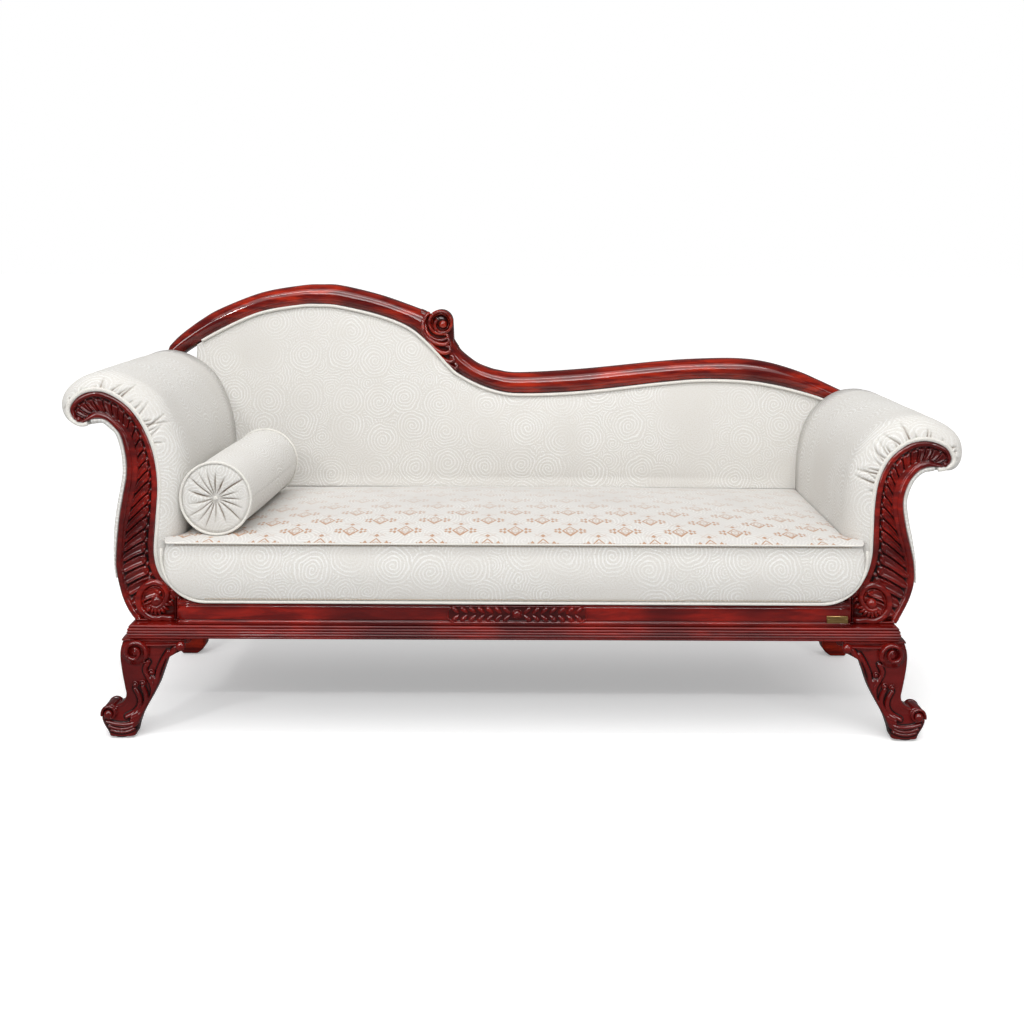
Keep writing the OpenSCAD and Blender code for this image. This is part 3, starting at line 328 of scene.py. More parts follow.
def repeat_tree():
    """Geometry nodes: one unit on every point, turned by the point's own attribute, with a fixed seed."""
    tree = bpy.data.node_groups.new("repeat_unit", "GeometryNodeTree")
    for name, kind in (("Points", "Geometry"), ("Unit", "Object"), ("Size", "Float"), ("Jitter", "Float"),
                       ("Seed", "Int"), ("Finish", "Material")):
        tree.interface.new_socket(name=name, in_out="INPUT", socket_type="NodeSocket" + kind)
    tree.interface.new_socket(name="Mesh", in_out="OUTPUT", socket_type="NodeSocketGeometry")
    given, unit_info, turn, chance, low, high, both, euler, place, real, paint, out = (
        tree.nodes.new(kind) for kind in (
            "NodeGroupInput", "GeometryNodeObjectInfo", "GeometryNodeInputNamedAttribute",
            "FunctionNodeRandomValue", "ShaderNodeMath", "ShaderNodeMath", "ShaderNodeVectorMath",
            "FunctionNodeEulerToRotation", "GeometryNodeInstanceOnPoints", "GeometryNodeRealizeInstances",
            "GeometryNodeSetMaterial", "NodeGroupOutput"))
    turn.data_type, turn.inputs["Name"].default_value = "FLOAT_VECTOR", "turn"
    chance.data_type = "FLOAT"
    for end, sign in ((low, -1.0), (high, 1.0)):
        end.operation, end.inputs[1].default_value = "MULTIPLY", sign
    for source, output, target, port in (
            (given, "Jitter", low, 0), (given, "Jitter", high, 0), (low, 0, chance, 2), (high, 0, chance, 3),
            (given, "Seed", chance, "Seed"), (turn, 0, both, 0), (chance, 1, both, 1), (both, 0, euler, 0),
            (given, "Unit", unit_info, "Object"), (given, "Points", place, "Points"),
            (unit_info, "Geometry", place, "Instance"), (euler, 0, place, "Rotation"),
            (given, "Size", place, "Scale"), (place, 0, real, 0), (real, 0, paint, "Geometry"),
            (given, "Finish", paint, "Material"), (paint, 0, out, 0)):
        tree.links.new(source.outputs[output], target.inputs[port])
    return tree


def repeated(name, shell, places, turns, kind, jitter, seed):
    """One unit shell at every place, as one plain mesh."""
    model = linked(name + "_unit", shell.mesh(name + "_unit", kind, 0))
    mesh = bpy.data.meshes.new(name)
    mesh.vertices.add(len(places))
    mesh.vertices.foreach_set("co", ((np.array(places, float) + SHIFT) / 1000).ravel())
    turn = mesh.attributes.new("turn", "FLOAT_VECTOR", "POINT")
    turn.data.foreach_set("vector", np.array(turns, np.float32).ravel())
    obj = linked(name, mesh)
    modifier = obj.modifiers.new("repeat", "NODES")
    modifier.node_group = bpy.data.node_groups.get("repeat_unit") or repeat_tree()
    inputs = {i.name: i.identifier for i in modifier.node_group.interface.items_tree if i.in_out == "INPUT"}
    for key, value in (("Unit", model), ("Size", 1.0), ("Jitter", jitter), ("Seed", seed), ("Finish", finish(kind))):
        modifier[inputs[key]] = value
    bpy.context.view_layer.update()
    solid = bpy.data.meshes.new_from_object(obj.evaluated_get(bpy.context.evaluated_depsgraph_get()))
    obj.modifiers.clear()
    obj.data = solid
    bpy.data.objects.remove(model)
    if not len(solid.polygons):
        raise RuntimeError(f"{name} came out empty")
    solid.polygons.foreach_set("use_smooth", [True] * len(solid.polygons))
    declared(obj)


def capsule(half, wide, tall, taper=0.0, n=16):
    """A long grain along x, its flat side along y."""
    shell = Shell()
    a, b = np.linspace(0.06, math.pi - 0.06, n - 1)[:, None], circle(n)
    ring = np.sin(a) * (1 - taper * np.cos(a))
    shell.grid(columns(half * -np.cos(a), ring * tall * np.cos(b), ring * wide * np.sin(b)))
    return shell


# ---- Finishes -------------------------------------------------------------------------------


def adds(operation):
    """A method that adds a Math node of one operation."""
    return lambda self, *others: self.math(operation, *others)


class Value:
    """A number socket of a finish. Arithmetic on it adds Math nodes."""

    def __init__(self, finish, socket):
        self.finish, self.socket = finish, socket

    def math(self, operation, *others):
        node = self.finish.node("ShaderNodeMath", dict(enumerate((self, *others))), operation=operation)
        return Value(self.finish, node.outputs[0])

    __add__ = __radd__ = adds("ADD")
    __sub__ = adds("SUBTRACT")
    __mul__ = __rmul__ = adds("MULTIPLY")
    __truediv__ = adds("DIVIDE")
    __abs__ = adds("ABSOLUTE")
    wave = adds("SINE")
    above = adds("MAXIMUM")

    def __rsub__(self, other):
        return self * -1.0 + other

    def share(self, low, high):
        """0 at low, 1 at high, eased and clamped."""
        node = self.finish.node("ShaderNodeMapRange", {"Value": self, "From Min": low, "From Max": high},
                                interpolation_type="SMOOTHSTEP")
        return Value(self.finish, node.outputs["Result"])


class Finish:
    """A material built from nodes."""

    def __init__(self, name):
        self.material = bpy.data.materials.new(name)
        self.material.use_nodes = True
        self.tree = self.material.node_tree
        self.tree.nodes.clear()
        self.surface = self.tree.nodes.new("ShaderNodeBsdfPrincipled")
        self.output = self.tree.nodes.new("ShaderNodeOutputMaterial").inputs["Surface"]
        self.tree.links.new(self.surface.outputs[0], self.output)

    def feed(self, port, value):
        if isinstance(value, (Value, bpy.types.NodeSocket)):
            self.tree.links.new(value.socket if isinstance(value, Value) else value, port)
        else:
            port.default_value = value

    def node(self, kind, inputs=None, **settings):
        made = self.tree.nodes.new(kind)
        for key, value in settings.items():
            setattr(made, key, value)
        for key, value in (inputs or {}).items():
            self.feed(made.inputs[key], value)
        return made

    def set(self, **inputs):
        for key, value in inputs.items():
            self.feed(self.surface.inputs[key.replace("_", " ")], value)
        return self.material

    def mix(self, share, a, b):
        return self.node("ShaderNodeMix", {0: share, 6: a, 7: b}, data_type="RGBA").outputs[2]

    def noise(self, place, scale, detail, rough=0.5, bend=0.0):
        return Value(self, self.node("ShaderNodeTexNoise", {
            "Vector": place, "Scale": scale, "Detail": detail, "Roughness": rough,
            "Distortion": bend}).outputs["Fac"])

    def vector(self, operation, a, b):
        return self.node("ShaderNodeVectorMath", {0: a, 1: b}, operation=operation).outputs[0]

    def grain(self, along, across, *look):
        """Noise drawn out along x, in Object coordinates."""
        return self.noise(self.vector("MULTIPLY", self.here(), (along, across, across)), 1.0, *look)

    def here(self):
        return self.node("ShaderNodeTexCoord").outputs["Object"]

    def cloth(self):
        return self.node("ShaderNodeUVMap", uv_map="cloth").outputs[0]

    def parts(self, place):
        made = self.node("ShaderNodeSeparateXYZ", {0: place})
        return [Value(self, made.outputs[k]) for k in range(3)]

    # Reads each point's share of painted shade from the mesh
    def hollow_shade(self):
        return Value(self, self.node("ShaderNodeAttribute", attribute_name="hollow_shade").outputs["Fac"])

    def relief(self, height, distance, strength):
        return self.node("ShaderNodeBump", {"Height": height, "Distance": distance, "Strength": strength}).outputs[0]


def srgb(*colour):
    shares = (c / 255 for c in colour)
    return (*(c / 12.92 if c <= 0.04045 else ((c + 0.055) / 1.055) ** 2.4 for c in shares), 1.0)


def mahogany(f):
    """Polished red wood: brighter towards the back, darker at the feet, with painted shade, near black, in the
    carving's recesses.
    """
    grain, cloud, deep = f.grain(9.0, 60.0, 5.0, 0.6, 0.4), f.noise(f.here(), 5.0, 2.0), f.hollow_shade()
    _, back, up = f.parts(f.here())
    light_grain = f.mix(up.share(0.15, 0.28), srgb(100, 16, 15), srgb(146, 26, 15))
    light_grain = f.mix(back.share(0.0, 0.15), light_grain, srgb(178, 42, 14))
    tone = f.mix(grain.share(0.35, 0.7), srgb(94, 13, 11), light_grain)
    tone = f.mix(cloud.share(0.42, 0.68) * 0.75, tone, srgb(66, 8, 10))
    # Painted shade: near black in the carving's recesses; the same mask also roughens them and thins the coat
    tone = f.mix(deep.share(0.0, 1.0), tone, srgb(14, 3, 4))
    return f.set(Base_Color=tone, Roughness=0.13 + 0.12 * grain + 0.3 * deep, Coat_Weight=1.0 - 0.7 * deep,
                 Coat_Roughness=0.05, Coat_IOR=1.5, Specular_IOR_Level=0.12,
                 Normal=f.relief(f.grain(40.0, 420.0, 2.0), 0.00012, 0.4))


def raw_wood(f):
    grain = f.grain(6.0, 70.0, 4.0, 0.6, 0.6)
    tone = f.mix(grain.share(0.3, 0.7), srgb(176, 136, 92), srgb(206, 172, 126))
    return f.set(Base_Color=tone, Roughness=0.6 + 0.15 * grain, Normal=f.relief(grain, 0.0004, 0.5))


def weave(f, place, pitch):
    """Height of a plain weave of a pitch in metres, 0 to 1."""
    x, y, _ = f.parts(place)
    turn = 2 * math.pi / pitch
    return 0.5 + 0.25 * (x * turn).wave() + 0.25 * (y * turn).wave()


def rings(f, place, size, pitch, loose, seed):
    """Echoing spirals about scattered centres: (line height 0 to 1, how near a centre 0 to 1)."""
    moved = f.vector("ADD", place, (seed, seed * 0.7, 0.0))
    bent = f.node("ShaderNodeTexNoise", {"Vector": moved, "Scale": 22.0, "Detail": 3.0},
                  noise_dimensions="2D").outputs["Color"]
    moved = f.vector("ADD", moved, f.vector("MULTIPLY", bent, (0.016, 0.016, 0.0)))
    cell = f.node("ShaderNodeTexVoronoi", {"Vector": moved, "Scale": 1 / size, "Randomness": loose},
                  voronoi_dimensions="2D")
    x, y, _ = f.parts(f.vector("SUBTRACT", moved, cell.outputs["Position"]))
    far = (x * x + y * y).math("SQRT")
    phase = far * (2 * math.pi / pitch) - y.math("ARCTAN2", x)
    return 0.5 + 0.5 * phase.wave(), 1 - far.share(size * 0.38, size * 0.62)


def woven_rings(f, place):
    """Large rings with small ones between them, fainter here and there."""
    line, near = rings(f, place, 0.1, 0.0086, 0.55, 1.3)
    small, _ = rings(f, place, 0.05, 0.0072, 0.8, 7.1)
    body = line * near + small * (1 - near)
    return body.share(0.5, 0.95) * f.noise(place, 5.0, 1.0).share(0.28, 0.55)


def figured(f, tone, rough, height):
    return f.set(Base_Color=tone, Roughness=rough, Sheen_Weight=0.12, Sheen_Roughness=0.4,
                 Specular_IOR_Level=0.2, Normal=f.relief(height, 0.0008, 0.6))


def damask(f):
    place = f.cloth()
    ridge = woven_rings(f, place)
    speck, cloud = f.noise(place, 360.0, 4.0, 0.85), f.noise(place, 14.0, 3.0)
    tone = f.mix(ridge, srgb(209, 207, 203), srgb(226, 226, 224))
    tone = f.mix(speck.share(0.48, 0.64) * 0.7, tone, srgb(188, 179, 165))
    tone = f.mix(cloud.share(0.45, 0.75) * 0.35, tone, srgb(207, 204, 198))
    # Painted shade: tan-brown in the creases of gathers and pleats
    tone = f.mix(f.hollow_shade().share(0.0, 1.0), tone, srgb(112, 92, 70))
    height = ridge * 0.7 + 0.12 * weave(f, place, THREAD) + 0.18 * speck
    return figured(f, tone, 0.92 - 0.14 * ridge, height)


def brocade(f):
    """The seat top: rows of small lozenges on the rings, clearer towards the front edge."""
    place = f.cloth()
    ridge = woven_rings(f, place)
    x, y, _ = f.parts(place)
    rows = (y - 0.020) / LOZENGE_ROW
    odd = rows.math("FLOOR").math("MODULO", 2.0)
    across = ((x + odd * (LOZENGE_PITCH / 2) + 20.0) / LOZENGE_PITCH).math("FRACT") - 0.5
    wide = abs(across) * LOZENGE_PITCH
    aside = abs(wide - LOZENGE_PITCH / 2)
    along = rows.math("FRACT") * LOZENGE_ROW - 0.031
    deep = abs(along) * 0.8
    heavy = 0.0012 + 0.0022 * (1 - (along + 0.02).share(0.0, 0.03))
    outline = 1 - (abs(wide * 0.95 + deep - 0.0165) - heavy).share(0.0, 0.0014)
    eye = 1 - abs((wide * wide + deep * deep * 1.4).math("SQRT") - 0.0085).share(0.0006, 0.0019)
    dot = 1 - (wide + deep).share(0.0016, 0.0032)
    inner_arrow = 1 - (abs(wide - 0.0245) * 1.1 + abs(deep - 0.0058) * 0.9).share(0.0046, 0.0058)
    outer_arrow = 1 - (abs(wide - 0.0335) * 0.9 + abs(deep - 0.0036) * 1.3).share(0.0038, 0.005)
    small = 1 - (aside + abs(along + 0.024) * 0.9).share(0.0055, 0.007)
    cross = 1 - abs(abs(aside - 0.013) - abs(along + 0.021)).share(0.0008, 0.0022)
    cross = cross * (1 - aside.share(0.018, 0.021)) * 0.35
    figure = outline
    for part in (eye * 0.8, dot * 0.6, inner_arrow, outer_arrow, small, cross):
        figure = figure.above(part)
    figure = figure * (0.5 + 0.5 * f.noise(place, 700.0, 2.0).share(0.3, 0.6))
    near = 1 - y.share(0.03, 0.34)
    tone = f.mix(ridge * 0.6, srgb(203, 200, 196), srgb(222, 221, 217))
    tone = f.mix(figure * (0.25 + 0.7 * near), tone, srgb(172, 124, 84))
    height = ridge * 0.3 + figure * 0.4 + 0.25 * weave(f, place, THREAD)
    return figured(f, tone, 0.88 - 0.15 * figure, height)


def piping(f):
    speck = f.noise(f.here(), 600.0, 3.0, 0.7)
    tone = f.mix(speck.share(0.3, 0.7), srgb(200, 196, 188), srgb(226, 224, 218))
    return f.set(Base_Color=tone, Roughness=0.82 + 0.1 * speck, Sheen_Weight=0.2,
                 Normal=f.relief(speck, 0.0006, 0.6))


def thread(f):
    speck = f.noise(f.here(), 900.0, 2.0)
    return f.set(Base_Color=f.mix(speck, srgb(150, 124, 94), srgb(196, 176, 148)), Roughness=0.7 + 0.2 * speck,
                 Sheen_Weight=0.1)


def plain_cloth(low, high, pitch):
    def build(f):
        speck = f.noise(f.here(), 400.0, 3.0)
        return f.set(Base_Color=f.mix(speck.share(0.3, 0.7), srgb(*low), srgb(*high)),
                     Roughness=0.85 + 0.1 * speck, Normal=f.relief(weave(f, f.here(), pitch), 0.0006, 0.6))
    return build


def metal(low, high):
    def build(f):
        brushed = f.grain(30.0, 600.0, 3.0)
        return f.set(Base_Color=f.mix(brushed.share(0.3, 0.7), srgb(*low), srgb(*high)), Metallic=1.0,
                     Roughness=0.3 + 0.15 * brushed, Normal=f.relief(brushed, 0.0001, 0.4))
    return build


MAKERS = {
    "mahogany": mahogany, "frame_wood": raw_wood, "damask": damask, "brocade": brocade, "piping": piping,
    "thread": thread,
    "stuffing": plain_cloth((214, 204, 182), (230, 222, 204), 0.004),
    "webbing": plain_cloth((150, 124, 86), (180, 152, 110), 0.006),
    "dust_cloth": plain_cloth((22, 22, 23), (34, 34, 35), 0.002),
    "steel": metal((150, 152, 155), (186, 188, 190)),
    "brass": metal((168, 136, 84), (196, 164, 108)),
}


FINISHES = {}


def finish(name):
    if name not in FINISHES:
        FINISHES[name] = MAKERS[name](Finish(name))
    return FINISHES[name]


# ---- Carved arm facings ---------------------------------------------------------------------


def facing_grid(inner, outer, n_lobes, per_lobe, across):
    """Each row's lobe, the points from foot to tip by inner to outer edge, and their distances from edges and tip."""
    a, b = smooth(inner, EDGE_STEPS), smooth(outer, EDGE_STEPS)
    run, index = lengths((a + b) / 2), np.arange(len(a))
    lobe = np.linspace(0, n_lobes, n_lobes * per_lobe + 1)
    share = 1 - (lobe / n_lobes) ** LOBE_GROWTH
    carved = np.interp(run[PLAIN_ROWS] + share * (run[-1] - run[PLAIN_ROWS]), run, index)[::-1]
    k = np.concatenate([np.arange(PLAIN_ROWS), carved])
    lobe_at = np.concatenate([np.full(PLAIN_ROWS, n_lobes + 0.5), lobe[::-1]])
    p, q = (np.stack([np.interp(k, index, column) for column in line.T], 1) for line in (a, b))
    t = np.linspace(0, 1, across)
    xz = between(p, q, t - 0.06 * np.sin(2 * math.pi * t))
    edges = np.vstack([a[::2], a[-1:]]), np.vstack([b[::2], b[-1:]]), np.array([a[-1], b[-1]])
    return lobe_at, xz, [off_line(xz, edge) for edge in edges]


def facing_height(lobe_at, d_in, d_out, d_end):
    """How far the carving stands forward of the field, and how much painted shade each point gets in grooves and
    scoops.
    """
    wide = d_in + d_out
    small = np.clip(wide / 66.0, 0.3, 1.0)
    rim_w = FACING_RIM * small
    edge_in = np.minimum(d_in, d_end + 0.35 * rim_w)
    rim = 8.6 * np.maximum(bump(edge_in - rim_w / 2, rim_w / 2 + 0.3), bump(d_out - rim_w / 2, rim_w / 2 + 0.3))
    field = rim_w + 0.8
    inside = (edge_in > field) & (d_out > field - 0.5)
    v = clipped((d_in - field) / np.maximum(wide - 2 * field, 1.0))
    phase = lobe_at[:, None] - 0.38 * (1 - v) ** 2.2 - 0.1
    cell = np.abs(phase - np.floor(phase) - 0.5)
    until = 1.04 - 0.32 * bell((lobe_at / lobe_at.max())[:, None] - 0.42, 0.2)
    shape = quarter((v - 0.06) / 0.2) * np.sqrt(clipped((until - v) / 0.16))
    e = cell / (mixed(0.455, 0.43, v) * shape + 1e-4)
    body = (e < 1) * inside
    cup = body * small * (3.6 + 4.2 * clipped(e / 0.74) ** 2) * np.sqrt(clipped((1 - e) / 0.2)) * clipped(shape * 1.5)
    head = body * small * 8.0 * bell(v - 0.17, 0.085) * bump(e, 1)
    curl = inside * small * 6.0 * bell(v - 0.07, 0.06) * bell(cell - 0.5, 0.14)
    cove = inside * small * 3.2 * eased((v - until + 0.12) / 0.14)
    high = np.maximum.reduce([rim, cup, head, curl, cove])
    # Painted shade in the grooves between the carved parts and in the middle of each lobe's scoop
    groove = clipped(1 - high / (3.0 * small)) * inside
    scoop = 0.3 * body * clipped(1 - e / 0.6) ** 0.7 * clipped((v - 0.22) / 0.1)
    return high, clipped(np.maximum(groove, scoop))


def base_volute(shell):
    """The scroll at a facing's foot: a thick band up and over into a ball, with flutes under it."""
    centre = (RAIL_HALF + 57, RAIL_Z + 48)
    t = np.linspace(0, 1, 130)
    turn = np.radians(252 + 432 * t)
    path = arc(centre, 42.0 - 26.5 * eased((t - 0.42) / 0.36), turn, 3.0 - 5.0 * t)
    whole = np.vstack([[[RAIL_HALF + 16, 4.0, RAIL_Z + 7], [RAIL_HALF + 30, 3.6, RAIL_Z + 5.5]], path])
    t = np.linspace(0, 1, len(whole))
    shell.sweep(whole, columns(mixed(7.4, 8.6, clipped(t * 6)) - 3.2 * t, mixed(8, 10, t)), 18)
    # The groove along the band gets a little painted shade
    shell.sweep((path + [0, 2.0, 0] - arc((0, 0), 10.4, turn, 0))[:80], (1.7, 6.0), 8, hollow_shade=0.1)
    shell.ball((centre[0] - 1, -1.5, centre[1] - 1), 13, 0.9)
    for k in range(7):
        flute = smooth(arc(centre, np.array([17, 21, 28, 34]), math.radians(200 + k * 18), [4, -3, -3, 3]), 5)
        shell.sweep(flute, columns(mixed(1.8, 3.9, np.sin(math.pi * np.arange(16) / 15)), 4.5), 10)
    for k in range(3):
        x, z = RAIL_HALF + 20 + 3 * k, RAIL_Z + 66 - 13 * k
        leaf = smooth([[x - 7, 6, z - 6], [x + 1, 2.0, z + 3], [x + 8, 5.0, z - 4]], 8)
        shell.sweep(leaf, columns(np.maximum(0.8, 5.0 * np.sin(math.pi * np.arange(1, 18) / 18)), 4), 10)
    # The disc behind the scroll gets painted shade
    shell.disc(centre, 38, 32, (7.0, BOARD_T - 1), 0.8)


def facing(side, n_lobes, detail):
    """One arm's carved front, over a backing block, with posts, sill, volute and tip."""
    shares, _, reach, rise = ARMS[side]
    inner, outer = placed(shares, reach, rise), placed(FACING_OUT[side], reach, rise)[::-1]
    lobe_at, xz, off = facing_grid(inner, outer, n_lobes, max(6, int(16 * detail)), int(76 * detail))
    high, hollow_shade = facing_height(lobe_at, *off)
    low = (lobe_at > n_lobes)[:, None]
    plain = 8.0 * np.maximum(bump(off[0] - 7, 7.3), bump(off[1] - 7, 7.3))
    high = np.where(low, plain, high)
    # Painted shade in the grooves of the plain rows
    hollow_shade = np.where(low, clipped(1 - plain / 3.5) * 0.8, hollow_shade)
    shell = Shell(side)
    ends = xz[:, [-1, 0]]
    shell.slab(columns(xz[..., 0], 8.0 - high, xz[..., 1]), columns(ends[..., 0], BOARD_T, ends[..., 1]), hollow_shade)
    top, wide = inner[0][1], outer[0][0]
    block = ((RAIL_HALF, RAIL_Z), (wide, RAIL_Z), (wide + 6, RAIL_Z + 8), (RAIL_HALF + 14, top + 4), (RAIL_HALF, top))
    # The backing block behind the carving gets painted shade
    shell.grid([[[x, y, z] for x, z in block] for y in (6.5, BOARD_T)], hollow_shade=0.6)
    # The thin bead beside the thick post gets painted shade
    for x, r, deep in ((RAIL_HALF + 6.0, 5.2, 0.0), (RAIL_HALF + 13.0, 1.6, 0.5)):
        shell.sweep(columns(x, 2.5, np.linspace(RAIL_Z + 0.5, top + 1, 8)), (r, 5.5), 14, hollow_shade=deep)
    shell.sweep(columns(np.linspace(RAIL_HALF + 2, wide - 2, 20), 4.0, RAIL_Z + 2.6), (2.4, 5.5), 10)
    base_volute(shell)
    tip = np.array(inner[-1]) * 0.45 + np.array(outer[-1]) * 0.55
    shell.ball((tip[0], 1.5, tip[1] + 3), 6, 0.9)
    shell.make(f"carved_facing_{side}", "mahogany", f"arm_facing_{side}")


# ---- Crest ----------------------------------------------------------------------------------


def crest_line(shares):
    return smooth(placed(shares, CREST_HALF, CREST_LOW, 0), 8)


def at(line, x):
    """Height of a line at x."""
    return np.interp(x, line[:, 0], line[:, 1])


def crest_rail(part, x0, x1, shares, stations):
    """A stretch of the crest: one moulded section, as tall as the crest is at each x."""
    x = np.linspace(x0, x1, stations)[:, None]
    z0, z1 = at(crest_line(CREST_BOTTOM), x), at(crest_line(shares), x)
    corners = np.array(CREST_SECTION)
    across, up = np.vstack([smooth(np.vstack([corners[2:], corners[:1]]), 5), corners[1:2]]).T
    z = mixed(z0, z1, up)
    # A groove low on the front: cut in a little and darkened with painted shade
    line = bell(up - 0.16, 0.035) * (across < 0.5)
    shell = Shell()
    shell.grid(columns(x, back_y(z) + 4 + across * 62 + 0.6 * line, z), hollow_shade=0.2 * line)
    shell.make(f"crest_{part}_rail", "mahogany", f"crest_{part}")


CREST_ARCS = (
    [[-247, 898], [-244, 880], [-232, 866], [-214, 859], [-197, 860], [-187, 867], [-190, 874], [-197, 874]],
    [[-238, 934], [-250, 921], [-256, 903], [-253, 882], [-240.6, 863], [-221, 851], [-201, 846.5], [-187, 851],
     [-184, 860], [-190, 864]],
    [[-250, 868], [-236, 850], [-221, 835], [-205, 825.5], [-189, 824], [-179.5, 831], [-183, 840], [-191, 841]],
    [[-226, 834], [-213, 817], [-199, 806], [-183, 799.5], [-171, 803], [-171, 813], [-179, 816]],
    [[-204, 807], [-191, 796], [-178, 787], [-166, 781], [-160, 788], [-166, 795]],
)


def crest_scroll():
    """The scroll between arch and tail, and the echoing bands under it."""
    centre = (-207.5, 906.6)
    face = float(back_y(centre[1]))
    t = np.linspace(0, 1, 120)
    turn = np.radians(300 - 520 * t)
    path = arc(centre, 31.0 - 19.0 * eased((t - 0.64) / 0.36), turn, face + 9 - 5 * t)
    shell = Shell()
    shell.sweep(path, columns(mixed(5.8, 4.4, t), mixed(11, 8, t)), 16)
    # The groove along the scroll's band gets a little painted shade
    shell.sweep((path + [0, 3.5, 0] - arc((0, 0), 7.2, turn, 0))[:90], (1.5, 7.0), 8, hollow_shade=0.2)
    shell.ball((centre[0] + 7, face + 6, centre[1] - 5), 11.5, 0.85)
    # The disc behind the scroll gets painted shade
    shell.disc(centre, 33, 40, (face + 15, face + 62), 0.6)
    belly = np.sin(math.pi * np.linspace(0, 1, 60))
    for k, band in enumerate(CREST_ARCS):
        x, z = resampled(smooth(band, 8), 60).T
        y = back_y(z) + 9.5 - 3.5 * belly
        wide = (8.0 - 0.4 * k if k else 4.8) * np.clip(np.sin(math.pi * np.linspace(0.08, 0.92, 60)), 0.2, 1) ** 0.3
        shell.sweep(columns(x, y, z), columns(wide, wide + 4), 14)
        shell.ball((x[-1] + 1, y[-1] - 1, z[-1]), 4.4, 0.9)
    x, r = np.linspace(-264, -158, 34)[:, None], 34
    cap = centre[1] + np.sqrt(np.clip(r ** 2 - (x - centre[0]) ** 2, 0, None))
    beside = np.where(x < centre[0], at(crest_line(ARCH_TOP), x), at(crest_line(TAIL_TOP), x))
    z = mixed(at(crest_line(CREST_BOTTOM), x), np.where(np.abs(x - centre[0]) < r, cap, beside), np.linspace(0, 1, 8))
    front = columns(x, back_y(z) + 16, z)
    # The ground behind the scroll and bands gets painted shade
    shell.grid(np.concatenate([front, front[:, ::-1] + [0, 48, 0]], 1), hollow_shade=0.45)
    shell.make("crest_carved_scroll", "mahogany", "crest_scroll")


# ---- Legs -----------------------------------------------------------------------------------


# Ridges carved on a front leg: (x, z) along each one, its half width and its height
LEG_RIDGES = (
    ([[772, 206], [781, 192], [790, 167], [798, 143], [808, 118], [819, 93], [832, 69], [844, 49], [855, 42]],
     5.5, 6.0),
    ([[789, 197], [801, 177], [811, 152], [814, 130], [819, 108], [826, 86], [838, 64], [853, 49], [869, 42]],
     4.0, 5.0),
    ([[834, 174], [841, 157], [834, 140], [824, 120], [824, 98], [834, 76], [849, 59], [868, 49]], 4.2, 6.0),
    ([[824, 140], [817, 125], [818, 104]], 3.0, 5.0),
    ([[846, 118], [839, 100], [839, 81], [851, 64], [868, 54]], 4.2, 6.0),
    ([[863, 113], [853, 93], [853, 76], [863, 61], [881, 51]], 4.2, 5.5),
    ([[925, 40], [908, 35], [888, 33], [868, 36], [853, 44]], 3.6, 5.5),
    ([[920, 29], [903, 23.5], [885, 23], [868, 28], [856, 35]], 3.0, 4.0),
    ([[916, 20], [900, 15.5], [883, 16], [864, 22]], 2.4, 3.0),
)
LEG_CURLS = ((826, 150, 4.6), (846, 125, 4.6), (863, 122, 4.6), (838, 168, 3.6))


def leg_line(shares, n):
    """A leg's edge, from shares of the box that holds the leg."""
    return smooth([[LEG_X + x * LEG_WIDE, LEG_Z + z * LEG_TALL] for x, z in shares], n)


